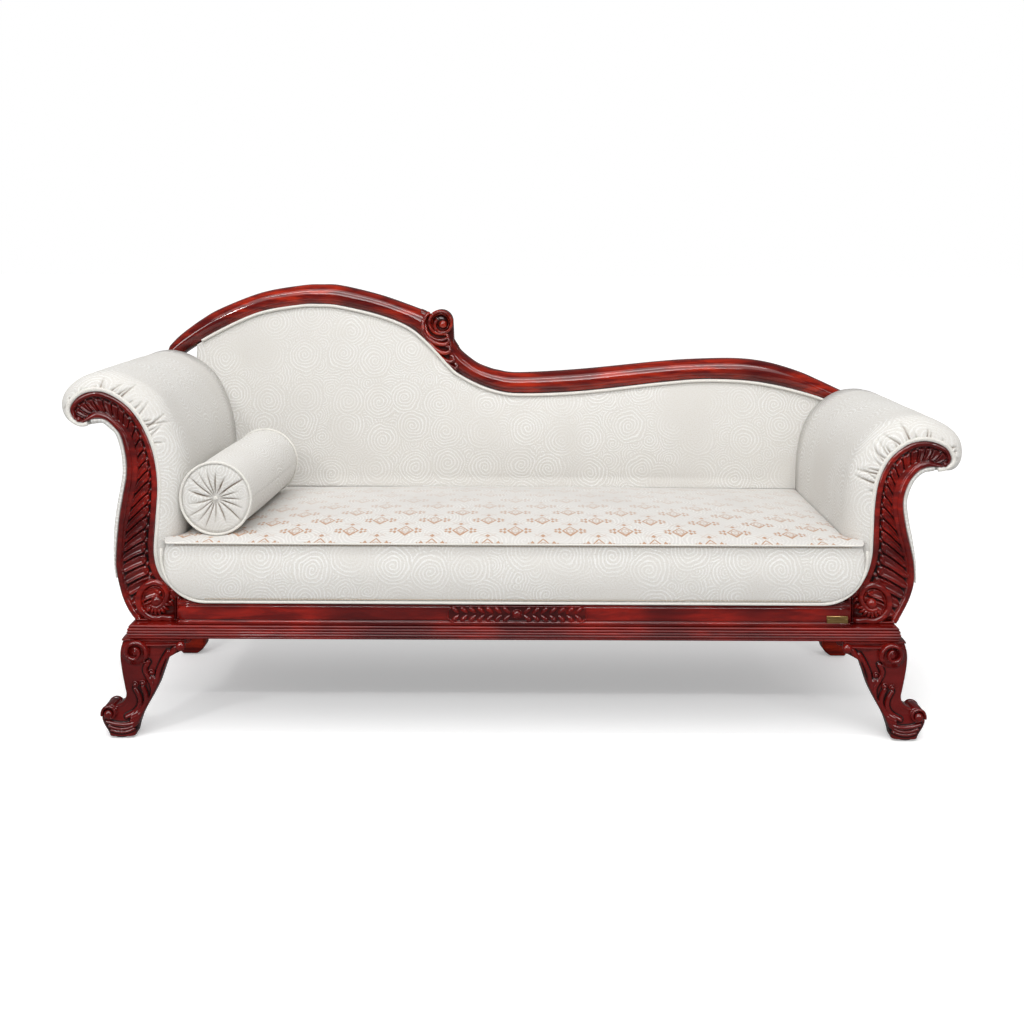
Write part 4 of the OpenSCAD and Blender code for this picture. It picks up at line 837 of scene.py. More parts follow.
def front_leg(side, detail):
    inner, outer = (leg_line(shares, int(13 * detail)) for shares in (LEG_INNER, LEG_OUTER))
    face, back = -27.0, 25.0
    middle = (face + back) / 2
    xz = between(inner, outer, np.linspace(0, 1, int(96 * detail)))
    x, z = xz[..., 0], xz[..., 1]
    edge = np.minimum(off_line(xz, inner[::3]), off_line(xz, outer[::3]))
    edge[:, [0, -1]] = 0
    soft = 12 * (1 - quarter(edge / 12))
    panel = bell(x - 806, 17) * bell(z - 193, 20)
    depth = soft + 5.5 * eased(edge / 10) * eased((z - 40) / 25) + 3.0 * panel
    ridge = shadow = np.zeros(x.shape)
    for line, half, rise in LEG_RIDGES:
        half *= 1.3
        away = off_line(xz, smooth(line, 5))
        ridge = np.maximum(ridge, 1.15 * rise * bump(away, half))
        shadow = np.maximum(shadow, bell(away - half - 1.0, 2.4))
    shell = Shell(side)
    # Painted shadow beside the ridges, and a little painted shade in the concave panel
    shell.slab(columns(x, face + depth - ridge, z), columns(x, back - soft, z)[:, ::-1][:, ::4],
               clipped(shadow * (ridge < 1.5) * 0.95 + 0.15 * panel))
    for x, z, r in LEG_CURLS:
        shell.ball((x, face + 1.5, z), r, 0.8)
        shell.sweep(spiral((x, z), (face + 2.5, face + 2.5), r + 3.4, r + 1.0, 0.6, 20, 1, 20), (1.6, 3.0), 8)
    scroll, toe = (863.0, 199.0), (920.0, 59.0)
    t = np.linspace(0, 1, 110)
    for y, d in ((face, -1), (back, 1)):
        path = spiral(scroll, (y + 3 * d, y + 6 * d), 29.0, 9.5, 1.3, 205, -1, 110)
        shell.sweep(path, columns(mixed(5.6, 4.0, t), mixed(10, 8, t)), 14)
        shell.ball((scroll[0] - 4, y + 4 * d, scroll[1]), 9.0, 0.8)
    shell.sweep(columns(scroll[0], np.linspace(face + 1, back - 1, 10), scroll[1]), 31.0, 40, up=(0, 0, 1))
    swell = mixed(16, 18.5, np.sin(math.pi * np.arange(10) / 9) ** 0.4)
    shell.sweep(columns(toe[0], np.linspace(face + 3, back - 2, 10), toe[1]), columns(swell, swell), 36, up=(0, 0, 1))
    for y, d in ((face, -1), (back, 1)):
        path = spiral(toe, (y + d, y + 2 * d), 17.5, 10.5, 0.95, -20, 1, 60)
        shell.sweep(path, columns(mixed(3.6, 2.4, t[:60]), 5.0), 10)
        shell.ball((toe[0] + 2, y + 3 * d, toe[1] - 2), 10.5, 0.85)
        shell.ball((759, y + d, 212), 11.5, 0.85)
    x = np.linspace(756, 884, 16)
    shell.sweep(columns(x, middle, 216 - 2.5 * np.sin(math.pi * (x - 752) / 130)), (5.0, 29.5), 24)
    shell.sweep(columns(np.linspace(752, 893, 16), middle, 225.2), (3.6, 28.0), 24)
    shell.make(f"carved_leg_front_{side}", "mahogany", f"leg_front_{side}")


REAR_OUTER = [[.86, 1], [.855, .65], [.84, .25], [.84, .04], [.82, 0]]
REAR_INNER = [[.22, 1], [.26, .85], [.44, .6], [.5, .3], [.515, .08], [.6, 0]]


def rear_leg(side):
    """A plain rear leg: a softened block."""
    inner, outer = (resampled(leg_line(shares, 10), 60) for shares in (REAR_INNER, REAR_OUTER))
    t = np.linspace(0, 1, 24)
    xz = between(inner, outer, t)
    x, z = xz[..., 0], xz[..., 1]
    soft = 5 * (1 - quarter(np.minimum(t, 1 - t) * np.linalg.norm(outer - inner, axis=1)[:, None] / 5))
    shell = Shell(side)
    shell.slab(columns(x, 523 + soft, z), columns(x, 575 - soft, z)[:, ::-1])
    shell.make(f"plain_leg_back_{side}", "mahogany", f"leg_back_{side}")


# ---- Front rail -------------------------------------------------------------------------------


def rail_carving(detail):
    """The long panel with a rimmed field, a ball and two rows of leaves."""
    length, tall, face = 319.0, 41.0, -28.0
    middle, mid = 7.0, 287.5
    x, v = np.linspace(-length / 2, length / 2, int(420 * detail))[:, None], np.linspace(-1, 1, int(40 * detail))
    past = np.clip(np.abs(x) - (length - tall) / 2, 0, None)
    half = np.sqrt(np.clip((tall / 2) ** 2 - past ** 2, 0.3, None))
    z = half * v
    high = 4.5 * bump(np.minimum(half - np.abs(z), length / 2 - np.abs(x)) - 2, 2.4)
    shell = Shell()
    # The field inside the rim gets painted shade
    shell.slab(columns(middle + x, face - high, mid + z), columns(middle + x, face + 2, mid + z)[:, ::-1][:, ::6],
               clipped(1 - high / 2.6) * 0.5)
    shell.ball((middle, face - 1, mid), 10, 0.75)
    shell.sweep(arc((middle, mid), 10.8, np.linspace(0, 2 * math.pi, 40), face - 0.5), 1.6, 8)
    shell.make("carved_panel", "mahogany", "rail_carving")
    leaves = [(side, row, k) for side in (-1, 1) for row in (-1, 1) for k in range(7)]
    places = [(middle + side * (23.5 + 19.4 * k), face + 0.6, mid + row * 8.9) for side, row, k in leaves]
    turns = [(0, math.radians(-44) * side * row + (math.pi if side < 0 else 0), 0) for side, row, _ in leaves]
    repeated("panel_leaves", capsule(11.6, 5.6, 6.2, 0.25), places, turns, "mahogany", 0.03, 4)


def bead(y, z, deep, tall, n):
    """Points of a half-round moulding in front of y, about a height z."""
    return [[y - deep * math.sin(a), z - tall * math.cos(a)] for a in np.linspace(0.3, math.pi - 0.3, n)]


def front_rail():
    """The front rail with a rounded bead at its foot and a small one at its head."""
    y, z = np.array([[17, 261], [-26.5, 261], [-27.8, 262.4], *bead(-26.0, 267.2, 3.6, 3.8, 9),
                     [-24.2, 271.6], [-25.4, 272.4], [-26.0, 275], [-26.0, 300], [-25.2, 302.6], [-24.4, 303.4],
                     *bead(-25.6, 306.4, 2.4, 2.6, 7), [-24.6, 309.6], [-25.5, 311], [-25.5, 314.6],
                     [17, 314.8]]).T
    shell = Shell()
    # The recesses between the beads get painted shade
    shell.grid(columns(np.linspace(-RAIL_HALF, RAIL_HALF, 60)[:, None], y, z),
               hollow_shade=np.interp(y, [-25.2, -24.2], [0, 0.9]) * (y < 0))
    shell.make("moulded_front_rail", "mahogany", "front_rail")


def name_plate():
    """A small bare plate of brass on the front rail."""
    x0, x1, z0, z1, y = 712.5, 760.5, 269.5, 286.0, -28.5
    shell = Shell()
    shell.grid([[[x0 + i, depth, z0 + i], [x1 - i, depth, z0 + i], [x1 - i, depth, z1 - i], [x0 + i, depth, z1 - i]]
                for i, depth in ((0, y + 3), (0, y), (0.8, y - 0.8), (1.0, y - 0.8))])
    for x in (x0 + 4, x1 - 4):
        shell.ball((x, y - 0.8, (z0 + z1) / 2), 1.6, 0.6)
    shell.make("brass_plate", "brass")


# ---- Padding ----------------------------------------------------------------------------------


def arm_line(side):
    """An arm's contour, up its inner side, over and down its outer side."""
    inner, outer, reach, rise = ARMS[side]
    return smooth(placed(inner + outer, reach, rise), 3)


def dense(line, n):
    """n evenly spaced points on a smooth curve along a line."""
    return resampled(smooth(np.vstack([line[:-1:3], line[-1:]]), 14), n)


def arm_pad(side, gathers, detail):
    """An arm's roll, with gathers in the cloth along its front edge."""
    line = dense(arm_line(side)[ARM_FRONT], int(460 * detail))
    out, length, share = square_to(line), lengths(line), np.linspace(0, 1, int(460 * detail))
    thick, seed, first, last = ARM_CLOTH[side]
    full = mixed(mixed(ARM_ROUND, thick, eased((share - 0.62) / 0.25)), 10.0, eased((share - 0.88) / 0.12))
    random = np.random.default_rng(seed)
    spots = np.sort(random.uniform(first, last, gathers))[:, None]
    spots = 0.4 * spots + 0.6 * np.linspace(first, last, gathers)[:, None]
    reach = random.uniform(16, 62, (gathers, 1)) * (0.6 + 0.6 * np.sin(math.pi * clipped((spots - 0.36) / 0.5)))
    lean, deep = random.uniform(-0.35, 0.35, (gathers, 1)), random.uniform(5.0, 9.0, (gathers, 1))
    rows = [(ARM_ROUND * (1 - math.cos(a)), math.sin(a)) for a in np.linspace(0, math.pi / 2, 40)]
    rows += [(ARM_ROUND + (SEAT_DEPTH - ARM_ROUND) * u, 1.0) for u in np.linspace(0.04, 0.9, 26)]
    shape, uv, crease_shades = [], [], []
    for y, rise in (*rows, (None, 1.0)):
        over = ARM_ROUND * math.asin(min(1.0, rise))
        away = np.abs(length - spots * length[-1] - lean * over)
        fade = clipped(1 - over / reach) ** 0.6 * min(1.0, over / 4.0 + 0.15)
        dip = np.clip((deep * fade * (1.2 * np.exp(-away / 3.2) - 0.4 * bell(away, 9.0))).sum(0), -3, 8)
        # Painted shade along each gather's crease
        crease_shades.append((0.8 * fade * bell(away, 2.1) * deep / 8).max(0))
        x, z = (line + out * (FIT + 1 + (full - dip) * rise)[:, None]).T
        shape.append(columns(x, (back_y(line[:, 1]) - 0.6 if y is None else y) + dip * math.sqrt(1 - rise ** 2), z))
        uv.append(columns(length, over + max((SEAT_DEPTH if y is None else y) - ARM_ROUND, 0)))
    x, z = (line + out * FIT).T
    grid = np.stack(shape + [columns(x, back_y(z) - 0.6, z), columns(x, 0.2, z)], 1)
    push = 1.6 * ripple(grid, 90.0, 3) * eased(share / 0.06)[:, None]
    push[:, [0, -2, -1]] = 0
    shell = Shell(side)
    shell.grid(grid + columns(out[:, :1] * push, 0, out[:, 1:] * push), uv=np.stack(uv + [uv[-1], uv[0]], 1),
               hollow_shade=np.pad(np.stack(crease_shades, 1), ((0, 0), (0, 2))))
    shell.make(f"arm_cloth_{side}", "damask", f"arm_pad_{side}", fill=0.85)


def arm_welt(side):
    """Flat cord that hugs the facing's contour."""
    line = dense(arm_line(side)[ARM_FRONT], 220)
    x, z = (line + square_to(line) * 5.2).T
    shell = Shell(side)
    shell.sweep(columns(x, 1.5, z), (4.6, 3.4), 12)
    shell.make(f"arm_piping_{side}", "piping")


def arm_outside(side, detail):
    """The flat cloth of an arm's outer side, folded in behind."""
    part = arm_line(side)[ARM_FRONT.stop:]
    line = dense(part[part[:, 1] > 347], int(90 * detail))
    out = square_to(line)
    for _ in range(3):
        out[1:-1] = (out[:-2] + out[1:-1] * 2 + out[2:]) / 4
    thick = 4.0 + 6.5 * eased((line[:, 1] - 370) / 110)
    rows = [(20 * (1 - math.cos(a)), math.sin(a)) for a in np.linspace(0, math.pi / 2, 12)]
    rows += [(y, 1.0) for y in np.linspace(40, 470, 16)]
    shape = []
    for y, rise in rows:
        x, z = (line + out * (FIT + 1 + thick * rise)[:, None]).T
        shape.append(columns(x, y, z))
    behind = ((0.3, np.inf), (0.6, 175), (34, 175), (68, 175)), ((68, 125), (0.6, 125), (0.3, np.inf))
    for lift, folds in zip((FIT + 1 + thick[:, None], FIT), behind):
        x, z = (line + out * lift).T
        shape += [columns(np.minimum(x, RAIL_HALF + most), np.maximum(back_y(z), SEAT_DEPTH) + extra, z)
                  for extra, most in folds]
    shape = np.stack(shape + [columns(x, 0, z)], 1)
    shape[..., 2] = np.maximum(shape[..., 2], 346.3)
    along = [y for y, _ in rows] + [SEAT_DEPTH + extra for extra in (0.3, 0.6, 34, 68, 68, 68, 68)] + [0]
    shell = Shell(side)
    shell.grid(shape, uv=columns(lengths(line)[:, None], along))
    shell.make(f"arm_outer_cloth_{side}", "damask", f"arm_outside_{side}", fill=0.9)


def back_pad(detail):
    """The inner back: a taut pad that swells in the middle."""
    x = np.linspace(-0.915 * CREST_HALF, 0.9 * CREST_HALF, int(260 * detail))[:, None]
    z1 = at(crest_line(CREST_BOTTOM), x) - 2
    z = mixed(BACK_Z, z1, np.linspace(0, 1, int(64 * detail)))
    belly = np.sin(math.pi * clipped((z - BACK_Z - 31) / (z1 - BACK_Z - 31)))
    middle = 1 - clipped(np.abs(x) / (RAIL_HALF - 14)) ** 6
    front = columns(x, back_y(z) - 14 * belly ** 0.8 * middle + 0.3, z)
    front[..., 1] -= 2.2 * ripple(front, 120.0, 5) * belly * middle
    ends = np.concatenate([z1, 0 * x + BACK_Z], 1)
    shell = Shell()
    shell.slab(front, columns(x, back_y(ends) + 41.7, ends), uv=columns(x, np.concatenate([z, z1, 0 * x], 1)))
    shell.make("back_padding", "damask", "back_pad", fill=0.85)


def back_panel():
    """The cloth over the outer back."""
    x = np.linspace(-888, 888, 160)[:, None]
    z = mixed(315.6, at(crest_line(CREST_BOTTOM), x) - 0.5, np.linspace(0, 1, 24))
    z = np.concatenate([z, z[:, ::-1]], 1)
    grid = columns(x, back_y(z) + 68.2, z)
    grid[:, :24, 1] += 3.4 + 0.48 * ripple(columns(x, z, z)[:, :24], 160.0, 8)
    shell = Shell()
    shell.grid(grid, uv=columns(x, z))
    shell.make("back_outer_cloth", "damask", "back_outside_panel", fill=0.9)


def back_piping():
    """The cord where the inner back meets the crest."""
    x = np.linspace(-866, 860, 306)
    z = at(crest_line(CREST_BOTTOM), x)
    shell = Shell()
    shell.sweep(resampled(columns(x, back_y(z) - 4.5, z), 420), 4.2, 12)
    shell.make("back_piping", "piping", "back_welt")


def seat_cushion(detail):
    """The seat's top, rounded at its corners and pressed in under the bolster."""
    share, front = np.linspace(0, 1, int(110 * detail))[:, None] ** 1.25, -36
    y = front + share * (518 - front)
    wide = np.minimum(790 + 12 * eased((y - front) / 34) + 13 * eased(y / 120),
                      822.4 - ARM_ROUND * quarter(y / ARM_ROUND))
    xs = -np.cos(np.linspace(0, math.pi, int(220 * detail)))
    crown = np.maximum(0.04, 1 - np.abs(2 * share - 1) ** 2.6) ** 0.8 * (1 - np.abs(xs) ** 3) ** 0.8
    top = columns(xs * wide, y, 451.5 + 8 * share + 31 * crown)
    top[..., 2] += 2.5 * ripple(top, 150.0, 11) * clipped(crown * 1.6) - 2.0 * clipped(1 - (y - front) / 10) ** 2
    x, _, z = np.moveaxis(top, -1, 0)
    side, far = turned(x - BOLSTER_AT[0], y - BOLSTER_AT[1], -BOLSTER_TURN)
    past = clipped(-far / 25) + clipped((far - 400) / 25)
    under = BOLSTER_AT[2] + far * math.sin(math.radians(BOLSTER_TIP)) - np.sqrt(np.clip(86 ** 2 - side ** 2, 0, None))
    rest = np.where(np.abs(side) < 86, under - 0.5, 600) + 30 * past ** 2
    top[..., 2] = -2.5 * np.logaddexp(-z / 2.5, -rest / 2.5)
    shell = Shell()
    shell.slab(top, columns(wide * [1, -1], y, SEAM_Z + 0.1),
               uv=np.pad(columns(x, y - front), ((0, 0), (0, 2), (0, 0))))
    shell.make("seat_cushion", "brocade", "seat_pad", fill=0.8)


def seat_border(detail):
    """The bulging cloth along the seat's front, with round lower corners."""
    end = SEAT_CORNER * (1 - np.cos(np.linspace(0, math.pi / 2, 24)))
    straight = SEAT_WIDE - SEAT_CORNER
    x = np.concatenate([end - SEAT_WIDE, np.linspace(-straight, straight, int(240 * detail))[1:-1],
                        SEAT_WIDE - end[::-1]])[:, None]
    past = np.clip(np.abs(x) - straight, 0, SEAT_CORNER)
    low = BORDER_LOW + SEAT_CORNER - np.sqrt(SEAT_CORNER ** 2 - past ** 2)
    v = np.linspace(0, 1, 34)
    z = mixed(low, SEAM_Z, v)
    bulge = border_swell(z) * clipped((SEAT_WIDE - np.abs(x)) / 14) ** 0.5
    front = columns(x, -28 - bulge + 3 * (1 - quarter(v * 10)), z)
    near_end = clipped((np.abs(x) - 718) / 80)
    front[..., 1] += (8.0 * near_end ** 4 - 1.5 * ripple(front, 60.0, 13)) * bulge / 17
    front[..., 0] -= np.sign(x) * 9.0 * near_end * eased((z - 415) / 33)
    rear = columns(x - np.sign(x) * 9.0 * near_end * [1, 0], -0.3, np.concatenate([0 * x + SEAM_Z, low], 1))
    shell = Shell()
    shell.slab(front, rear, uv=np.pad(columns(x, z), ((0, 0), (0, 2), (0, 0))))
    shell.make("seat_border_cloth", "damask", "seat_border", fill=0.85)


def seat_piping(part, right, half, n, r, up):
    """A cord that starts with the points at the right, runs to the left at their last height, and ends as it began."""
    _, y, z = right[-1]
    shell = Shell()
    shell.sweep(np.vstack([right, columns(np.linspace(half, -half, n), y, z), right[::-1] * [-1, 1, 1]]), r, 12, up)
    shell.make(f"seat_piping_{part}", "piping", f"seat_welt_{part}")


def border_swell(z):
    """How far the seat's front cloth stands out at a height."""
    return 15 * np.sin(math.pi * clipped((z - 296) / 152))


def seat_cords():
    """The cords over and under the front cloth, and the stitches of both seams."""
    a = np.radians(np.linspace(0, 90, 10))
    turn = columns(794 - 12 * (1 - np.cos(a)), -38.5 + 12 * (1 - np.sin(a)), 449.0)
    seat_piping("top", np.vstack([[[806, -4.5, 448], [797, -16, 448.6]], turn]), 780, 260, 2.2, (0, 0, 1))
    a, r, straight = np.linspace(math.pi / 2, 0, 24), SEAT_CORNER + 2.6, SEAT_WIDE - SEAT_CORNER
    turn = columns(straight + r * np.sin(a), -33.5, BORDER_LOW + SEAT_CORNER - r * np.cos(a))
    seat_piping("bottom", np.vstack([[[SEAT_WIDE + 2.4, -33.5, 436]], turn]), straight - 1, 240, 3.4, (0, 1, 0))
    places = [(x, -28.9 - border_swell(z), z)
              for z, half in ((443.0, 770), (322.5, 700)) for x in np.arange(-half, half, 6.4)]
    repeated("seat_seam_stitches", capsule(2.8, 0.75, 0.75, n=8), places, [(0, 0.12, 0)] * len(places),
             "thread", 0.08, 9)


# ---- Bolster ----------------------------------------------------------------------------------


def turned(u, v, degrees):
    """Two coordinates turned about the third axis."""
    c, s = math.cos(math.radians(degrees)), math.sin(math.radians(degrees))
    return c * u - s * v, s * u + c * v


def on_bolster(x, y, z):
    """From the bolster's own axes, z along it, to the couch."""
    along, up = turned(z, -y, BOLSTER_TIP)
    x, y = turned(x, along, BOLSTER_TURN)
    return columns(x, y, up) + BOLSTER_AT


def bolster_roll(detail):
    """The bolster's cover, puckered where it meets the cords."""
    near, far = BOLSTER_ENDS
    a, t = circle(int(96 * detail)), np.linspace(0, 1, int(70 * detail))[:, None]
    pucker = np.exp(-t / 0.05) + np.exp(-(1 - t) / 0.05)
    radius = BOLSTER_R + 0.8 + 2.2 * np.sin(math.pi * t) + 0.9 * np.cos(a * 26 + 1.3 * np.sin(a * 3)) * pucker
    z = near + t * (far - near)
    shell = Shell()
    shell.grid(on_bolster(radius * np.cos(a), radius * np.sin(a), z), uv=columns(a * BOLSTER_R, z))
    shell.make("bolster_roll", "damask", "bolster_cover", fill=0.9, body="bolster")


def bolster_ends(detail):
    """Both domed ends, their cloth drawn into pleats towards the button."""
    a, r = circle(int(240 * detail)), np.concatenate([np.linspace(3, 74, 40), [77, 80, BOLSTER_R]])[:, None]
    random = np.random.default_rng(5)
    strong, reach = random.uniform(0.6, 1.0, (2, PLEATS)), random.uniform(56, 94, (2, PLEATS))
    shell = Shell()
    for end, (level, way) in enumerate(zip(BOLSTER_ENDS, (-1, 1))):
        phase = (a + 0.03 * np.sin(r / 17 + 3 * end) + 0.09 * np.sin(a * 3)) * PLEATS / (2 * math.pi)
        which = np.round(phase).astype(int) % PLEATS
        away = np.abs(phase - np.round(phase)) * 2 * math.pi / PLEATS * r
        fade = strong[end][which] * clipped((reach[end][which] - r) / 26) ** 0.7 * clipped(r / 8)
        dome = 6.8 * np.interp(r, [0, 6, 14, 30, 60, 74, BOLSTER_R], [0.3, 0.35, 0.6, 0.92, 1.0, 0.85, 0.1])
        z = level + way * np.maximum(dome - 7.0 * fade * np.exp(-away / 1.7), -1.0)
        z = np.vstack([z, 0 * a + level - 2 * way])
        out = np.vstack([r, r[-1:]])
        x, y = out * np.cos(a), out * np.sin(a)
        # Painted shade along each pleat's crease
        shell.grid(on_bolster(x, y, z), uv=columns(x, y) * 1.15 + 300 * end,
                   hollow_shade=np.pad(fade * bell(away, 1.5), ((0, 1), (0, 0))))
    shell.make("bolster_pleated_ends", "damask", "bolster_ends", fill=0.8, body="bolster")


def bolster_trim():
    """The cord round each end and the button in its middle."""
    cords, buttons = Shell(), Shell()
    a, b = circle(96)[:, None], circle(10)
    r = BOLSTER_R + 1.4 + 3.3 * np.cos(b)
    for z in (3.5, 396.5):
        cords.grid(on_bolster(r * np.cos(a), r * np.sin(a), z + 3.5 * np.sin(b)), loop=True)
    for z in (4.6, 395.4):
        buttons.ball(on_bolster(0, 0, z), 5.0, 0.5)
    cords.make("bolster_piping", "piping", "bolster_welts", body="bolster")
    buttons.make("bolster_buttons", "piping", "bolster_ties", body="bolster")


# ---- Stage ------------------------------------------------------------------------------------


# Name, place, target, size and watts of each light. Those marked so show only in the polish
LIGHTS = (
    ("key", (-2.4, -3.4, 2.9), (0, 0, 0.5), (0.36, 0.24), 24),
    ("fill", (2.8, -3.2, 2.4), (0, 0, 0.5), (0.24, 0.36), 10),
    ("top", (0, -0.9, 3.4), (0, 0, 0.4), (3.6, 0.12), 26),
    ("strip", (0.1, -3.4, 2.7), (0, 0, 0.4), (2.8, 0.10), 30),
    ("panel_left", (-2.7, -2.9, 1.8), (0, 0, 0.5), (0.7, 1.5), 30, True),
    ("panel_right", (2.7, -2.9, 1.8), (0, 0, 0.5), (0.5, 1.5), 16, True),
    ("panel_top", (-0.3, -3.0, 3.2), (0, 0, 0.5), (2.4, 0.6), 26, True),
)


def light(name, place, target, size, power, gloss_only=False):
    """An area light. A panel that only shows in the polish stands for the studio's large soft boxes."""
    data = bpy.data.lights.new(name, "AREA")
    data.shape, data.energy = "RECTANGLE", power
    data.size, data.size_y = size
    obj = linked(name, data)
    obj.visible_diffuse = not gloss_only
    obj.location = place
    obj.rotation_euler = (Vector(target) - Vector(place)).to_track_quat("-Z", "Y").to_euler()


def by_ray(tree, plain, glossy, seen):
    """One shader for most rays, one for those off a polish and one for the camera's own."""
    path = tree.nodes.new("ShaderNodeLightPath")
    for ray, other in (("Is Glossy Ray", glossy), ("Is Camera Ray", seen)):
        mix = tree.nodes.new("ShaderNodeMixShader")
        for port, source in zip(mix.inputs, (path.outputs[ray], plain, other)):
            tree.links.new(source, port)
        plain = mix.outputs[0]
    return plain


def make_world(brightness):
    """Even light from all round that the polish barely shows, and white behind the couch."""
    world = bpy.data.worlds.new("studio")
    bpy.context.scene.world = world
    world.use_nodes = True
    tree = world.node_tree
    tree.nodes.clear()
    shades = []
    for strength in (brightness, 0.10, 1.0):
        shade = tree.nodes.new("ShaderNodeBackground")
        shade.inputs["Color"].default_value = WHITE
        shade.inputs["Strength"].default_value = strength
        shades.append(shade.outputs[0])
    output = tree.nodes.new("ShaderNodeOutputWorld")
    tree.links.new(by_ray(tree, *shades), output.inputs["Surface"])


def make_floor():
    """A floor that looks white, but throws less light back than it would."""
    f = Finish("floor_paint")
    cloud = f.noise(f.here(), 3.0, 2.0)
    f.set(Base_Color=f.mix(cloud, (0.93, 0.93, 0.93, 1), (0.95, 0.95, 0.95, 1)), Roughness=0.9,
          Specular_IOR_Level=0.1, Emission_Color=WHITE, Emission_Strength=0.3)
    bounce, dim = (f.node("ShaderNodeBsdfDiffuse", {"Color": colour}).outputs[0]
                   for colour in ((0.62, 0.62, 0.62, 1), (0.16, 0.15, 0.15, 1)))
    f.feed(f.output, by_ray(f.tree, bounce, dim, f.surface.outputs[0]))
    mesh = bpy.data.meshes.new("floor")
    bm = bmesh.new()
    bmesh.ops.create_grid(bm, x_segments=8, y_segments=8, size=30.0)
    bm.to_mesh(mesh)
    bm.free()
    mesh.materials.append(f.material)
    linked("floor", mesh)


# ---- Add-on -----------------------------------------------------------------------------------


class CarvingSettings(bpy.types.PropertyGroup):
    detail: FloatProperty(name="Carving detail", description="Share of the full carving resolution",
                          default=1.0, min=0.3, max=1.5)
    head_lobes: IntProperty(name="Head lobes", description="Carved lobes up the tall arm's facing", default=26)
    foot_lobes: IntProperty(name="Foot lobes", description="Carved lobes up the low arm's facing", default=21)


class ClothSettings(bpy.types.PropertyGroup):
    detail: FloatProperty(name="Cloth detail", description="Share of the full cloth resolution",
                          default=1.0, min=0.3, max=1.5)
    gathers: IntProperty(name="Gathers", description="Gathered folds along an arm's front edge", default=24)


class StageSettings(bpy.types.PropertyGroup):
    brightness: FloatProperty(name="Studio light", description="Strength of the light from all round", default=0.5)
    sun: FloatProperty(name="Sun", description="Strength of the even light from above", default=1.35)
    lens: FloatProperty(name="Lens", description="Focal length of the camera", default=42.03, unit="CAMERA")
    height: FloatProperty(name="Camera height", description="Height of the camera", default=1.151, unit="LENGTH")
    away: FloatProperty(name="Camera distance", description="How far in front of the middle it stands",
                        default=3.0495, unit="LENGTH")


class FacingsStep(bpy.types.Operator):
    """Carve the two arm facings"""
    bl_idname = "couch.facings"
    bl_label = "Arm Facings"

    def execute(self, context):
        s = context.scene.couch_carving
        facing("left", s.head_lobes, s.detail)
        facing("right", s.foot_lobes, s.detail)
        return {"FINISHED"}


class CrestStep(bpy.types.Operator):
    """Build the crest rail and its scroll"""
    bl_idname = "couch.crest"
    bl_label = "Crest"

    def execute(self, context):
        crest_rail("arch", -CREST_HALF, -247, ARCH_TOP, 180)
        crest_rail("tail", -181, 920, TAIL_TOP, 240)
        crest_scroll()
        return {"FINISHED"}


class LegsStep(bpy.types.Operator):
    """Carve the four legs"""
    bl_idname = "couch.legs"
    bl_label = "Legs"

    def execute(self, context):
        for side in ARMS:
            front_leg(side, context.scene.couch_carving.detail)
            rear_leg(side)
        return {"FINISHED"}


class RailStep(bpy.types.Operator):
    """Carve the panel on the front rail and add the small plate"""
    bl_idname = "couch.rail"
    bl_label = "Front Rail"

    def execute(self, context):
        front_rail()
        rail_carving(context.scene.couch_carving.detail)
        name_plate()
        return {"FINISHED"}


class ArmsStep(bpy.types.Operator):
    """Upholster both arms"""
    bl_idname = "couch.arms"
    bl_label = "Arms"

    def execute(self, context):
        s = context.scene.couch_cloth
        for side in ARMS:
            arm_pad(side, s.gathers, s.detail)
            arm_outside(side, s.detail)
            arm_welt(side)
        return {"FINISHED"}


class BackStep(bpy.types.Operator):
    """Upholster the back, inside and out"""
    bl_idname = "couch.back"
    bl_label = "Back"

    def execute(self, context):
        back_pad(context.scene.couch_cloth.detail)
        back_panel()
        back_piping()
        return {"FINISHED"}


class SeatStep(bpy.types.Operator):
    """Upholster the seat"""
    bl_idname = "couch.seat"
    bl_label = "Seat"

    def execute(self, context):
        seat_cushion(context.scene.couch_cloth.detail)
        seat_border(context.scene.couch_cloth.detail)
        seat_cords()
        return {"FINISHED"}


class BolsterStep(bpy.types.Operator):
    """Make the loose bolster"""
    bl_idname = "couch.bolster"
    bl_label = "Bolster"

    def execute(self, context):
        bolster_roll(context.scene.couch_cloth.detail)
        bolster_ends(context.scene.couch_cloth.detail)
        bolster_trim()
        return {"FINISHED"}


class FrameStep(bpy.types.Operator):
    """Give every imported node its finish"""
    bl_idname = "couch.frame"
    bl_label = "Frame Finishes"

    def execute(self, context):
        slots = {part["node"]: part["material_slot"] for part in frame["record"]["subparts"]}
        for name, obj in frame["nodes"].items():
            obj.data.materials.clear()
            obj.data.materials.append(finish(slots[name]))
        return {"FINISHED"}


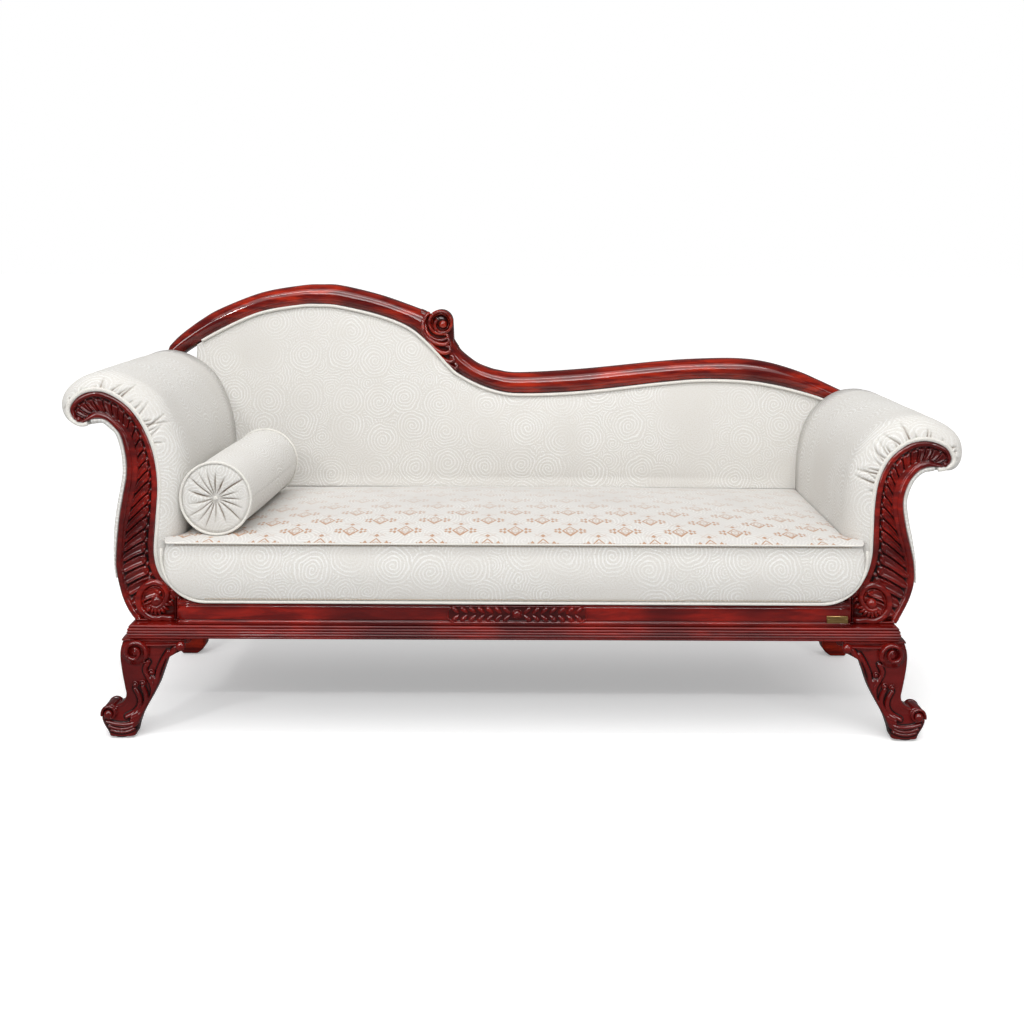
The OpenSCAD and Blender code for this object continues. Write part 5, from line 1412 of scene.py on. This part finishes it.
class StageStep(bpy.types.Operator):
    """Set the camera, the lights and the floor"""
    bl_idname = "couch.stage"
    bl_label = "Stage"

    def execute(self, context):
        s = context.scene.couch_stage
        make_world(s.brightness)
        make_floor()
        camera = linked("camera", bpy.data.cameras.new("camera"))
        context.scene.camera = camera
        camera.location = (0.0045, -s.away, s.height)
        camera.rotation_euler = (math.radians(90), math.radians(-0.23), 0)
        camera.data.lens = s.lens
        camera.data.sensor_width = 36
        camera.data.shift_x, camera.data.shift_y = -0.0034, -0.2705
        for row in LIGHTS:
            light(*row)
        sun = bpy.data.lights.new("sun", "SUN")
        sun.energy, sun.angle = s.sun, math.radians(60)
        linked("sun", sun).rotation_euler = (math.radians(32), 0, math.radians(-8))
        context.scene.view_settings.view_transform = "Standard"
        return {"FINISHED"}


class CouchPanel(bpy.types.Panel):
    """Buttons for each step of the couch"""
    bl_idname = "VIEW3D_PT_couch"
    bl_label = "Fainting Couch"
    bl_space_type = "VIEW_3D"
    bl_region_type = "UI"
    bl_category = "Couch"

    def draw(self, context):
        for group in ("couch_carving", "couch_cloth", "couch_stage"):
            settings = getattr(context.scene, group)
            box = self.layout.box()
            for name in settings.__annotations__:
                box.prop(settings, name)
        for step in STEPS:
            self.layout.operator(step.bl_idname)


GROUPS = {"couch_carving": CarvingSettings, "couch_cloth": ClothSettings, "couch_stage": StageSettings}
STEPS = (FrameStep, FacingsStep, CrestStep, LegsStep, RailStep, ArmsStep, BackStep, SeatStep, BolsterStep,
         StageStep)


def register():
    for kind in (*GROUPS.values(), *STEPS, CouchPanel):
        bpy.utils.register_class(kind)
    for name, kind in GROUPS.items():
        setattr(bpy.types.Scene, name, PointerProperty(type=kind))


def unregister():
    for name in GROUPS:
        delattr(bpy.types.Scene, name)
    for kind in reversed((*GROUPS.values(), *STEPS, CouchPanel)):
        bpy.utils.unregister_class(kind)


def main():
    register()
    for step in STEPS:
        group, name = step.bl_idname.split(".")
        if getattr(getattr(bpy.ops, group), name)() != {"FINISHED"}:
            raise RuntimeError(f"{step.bl_label} did not finish")


if __name__ == "__main__":
    main()
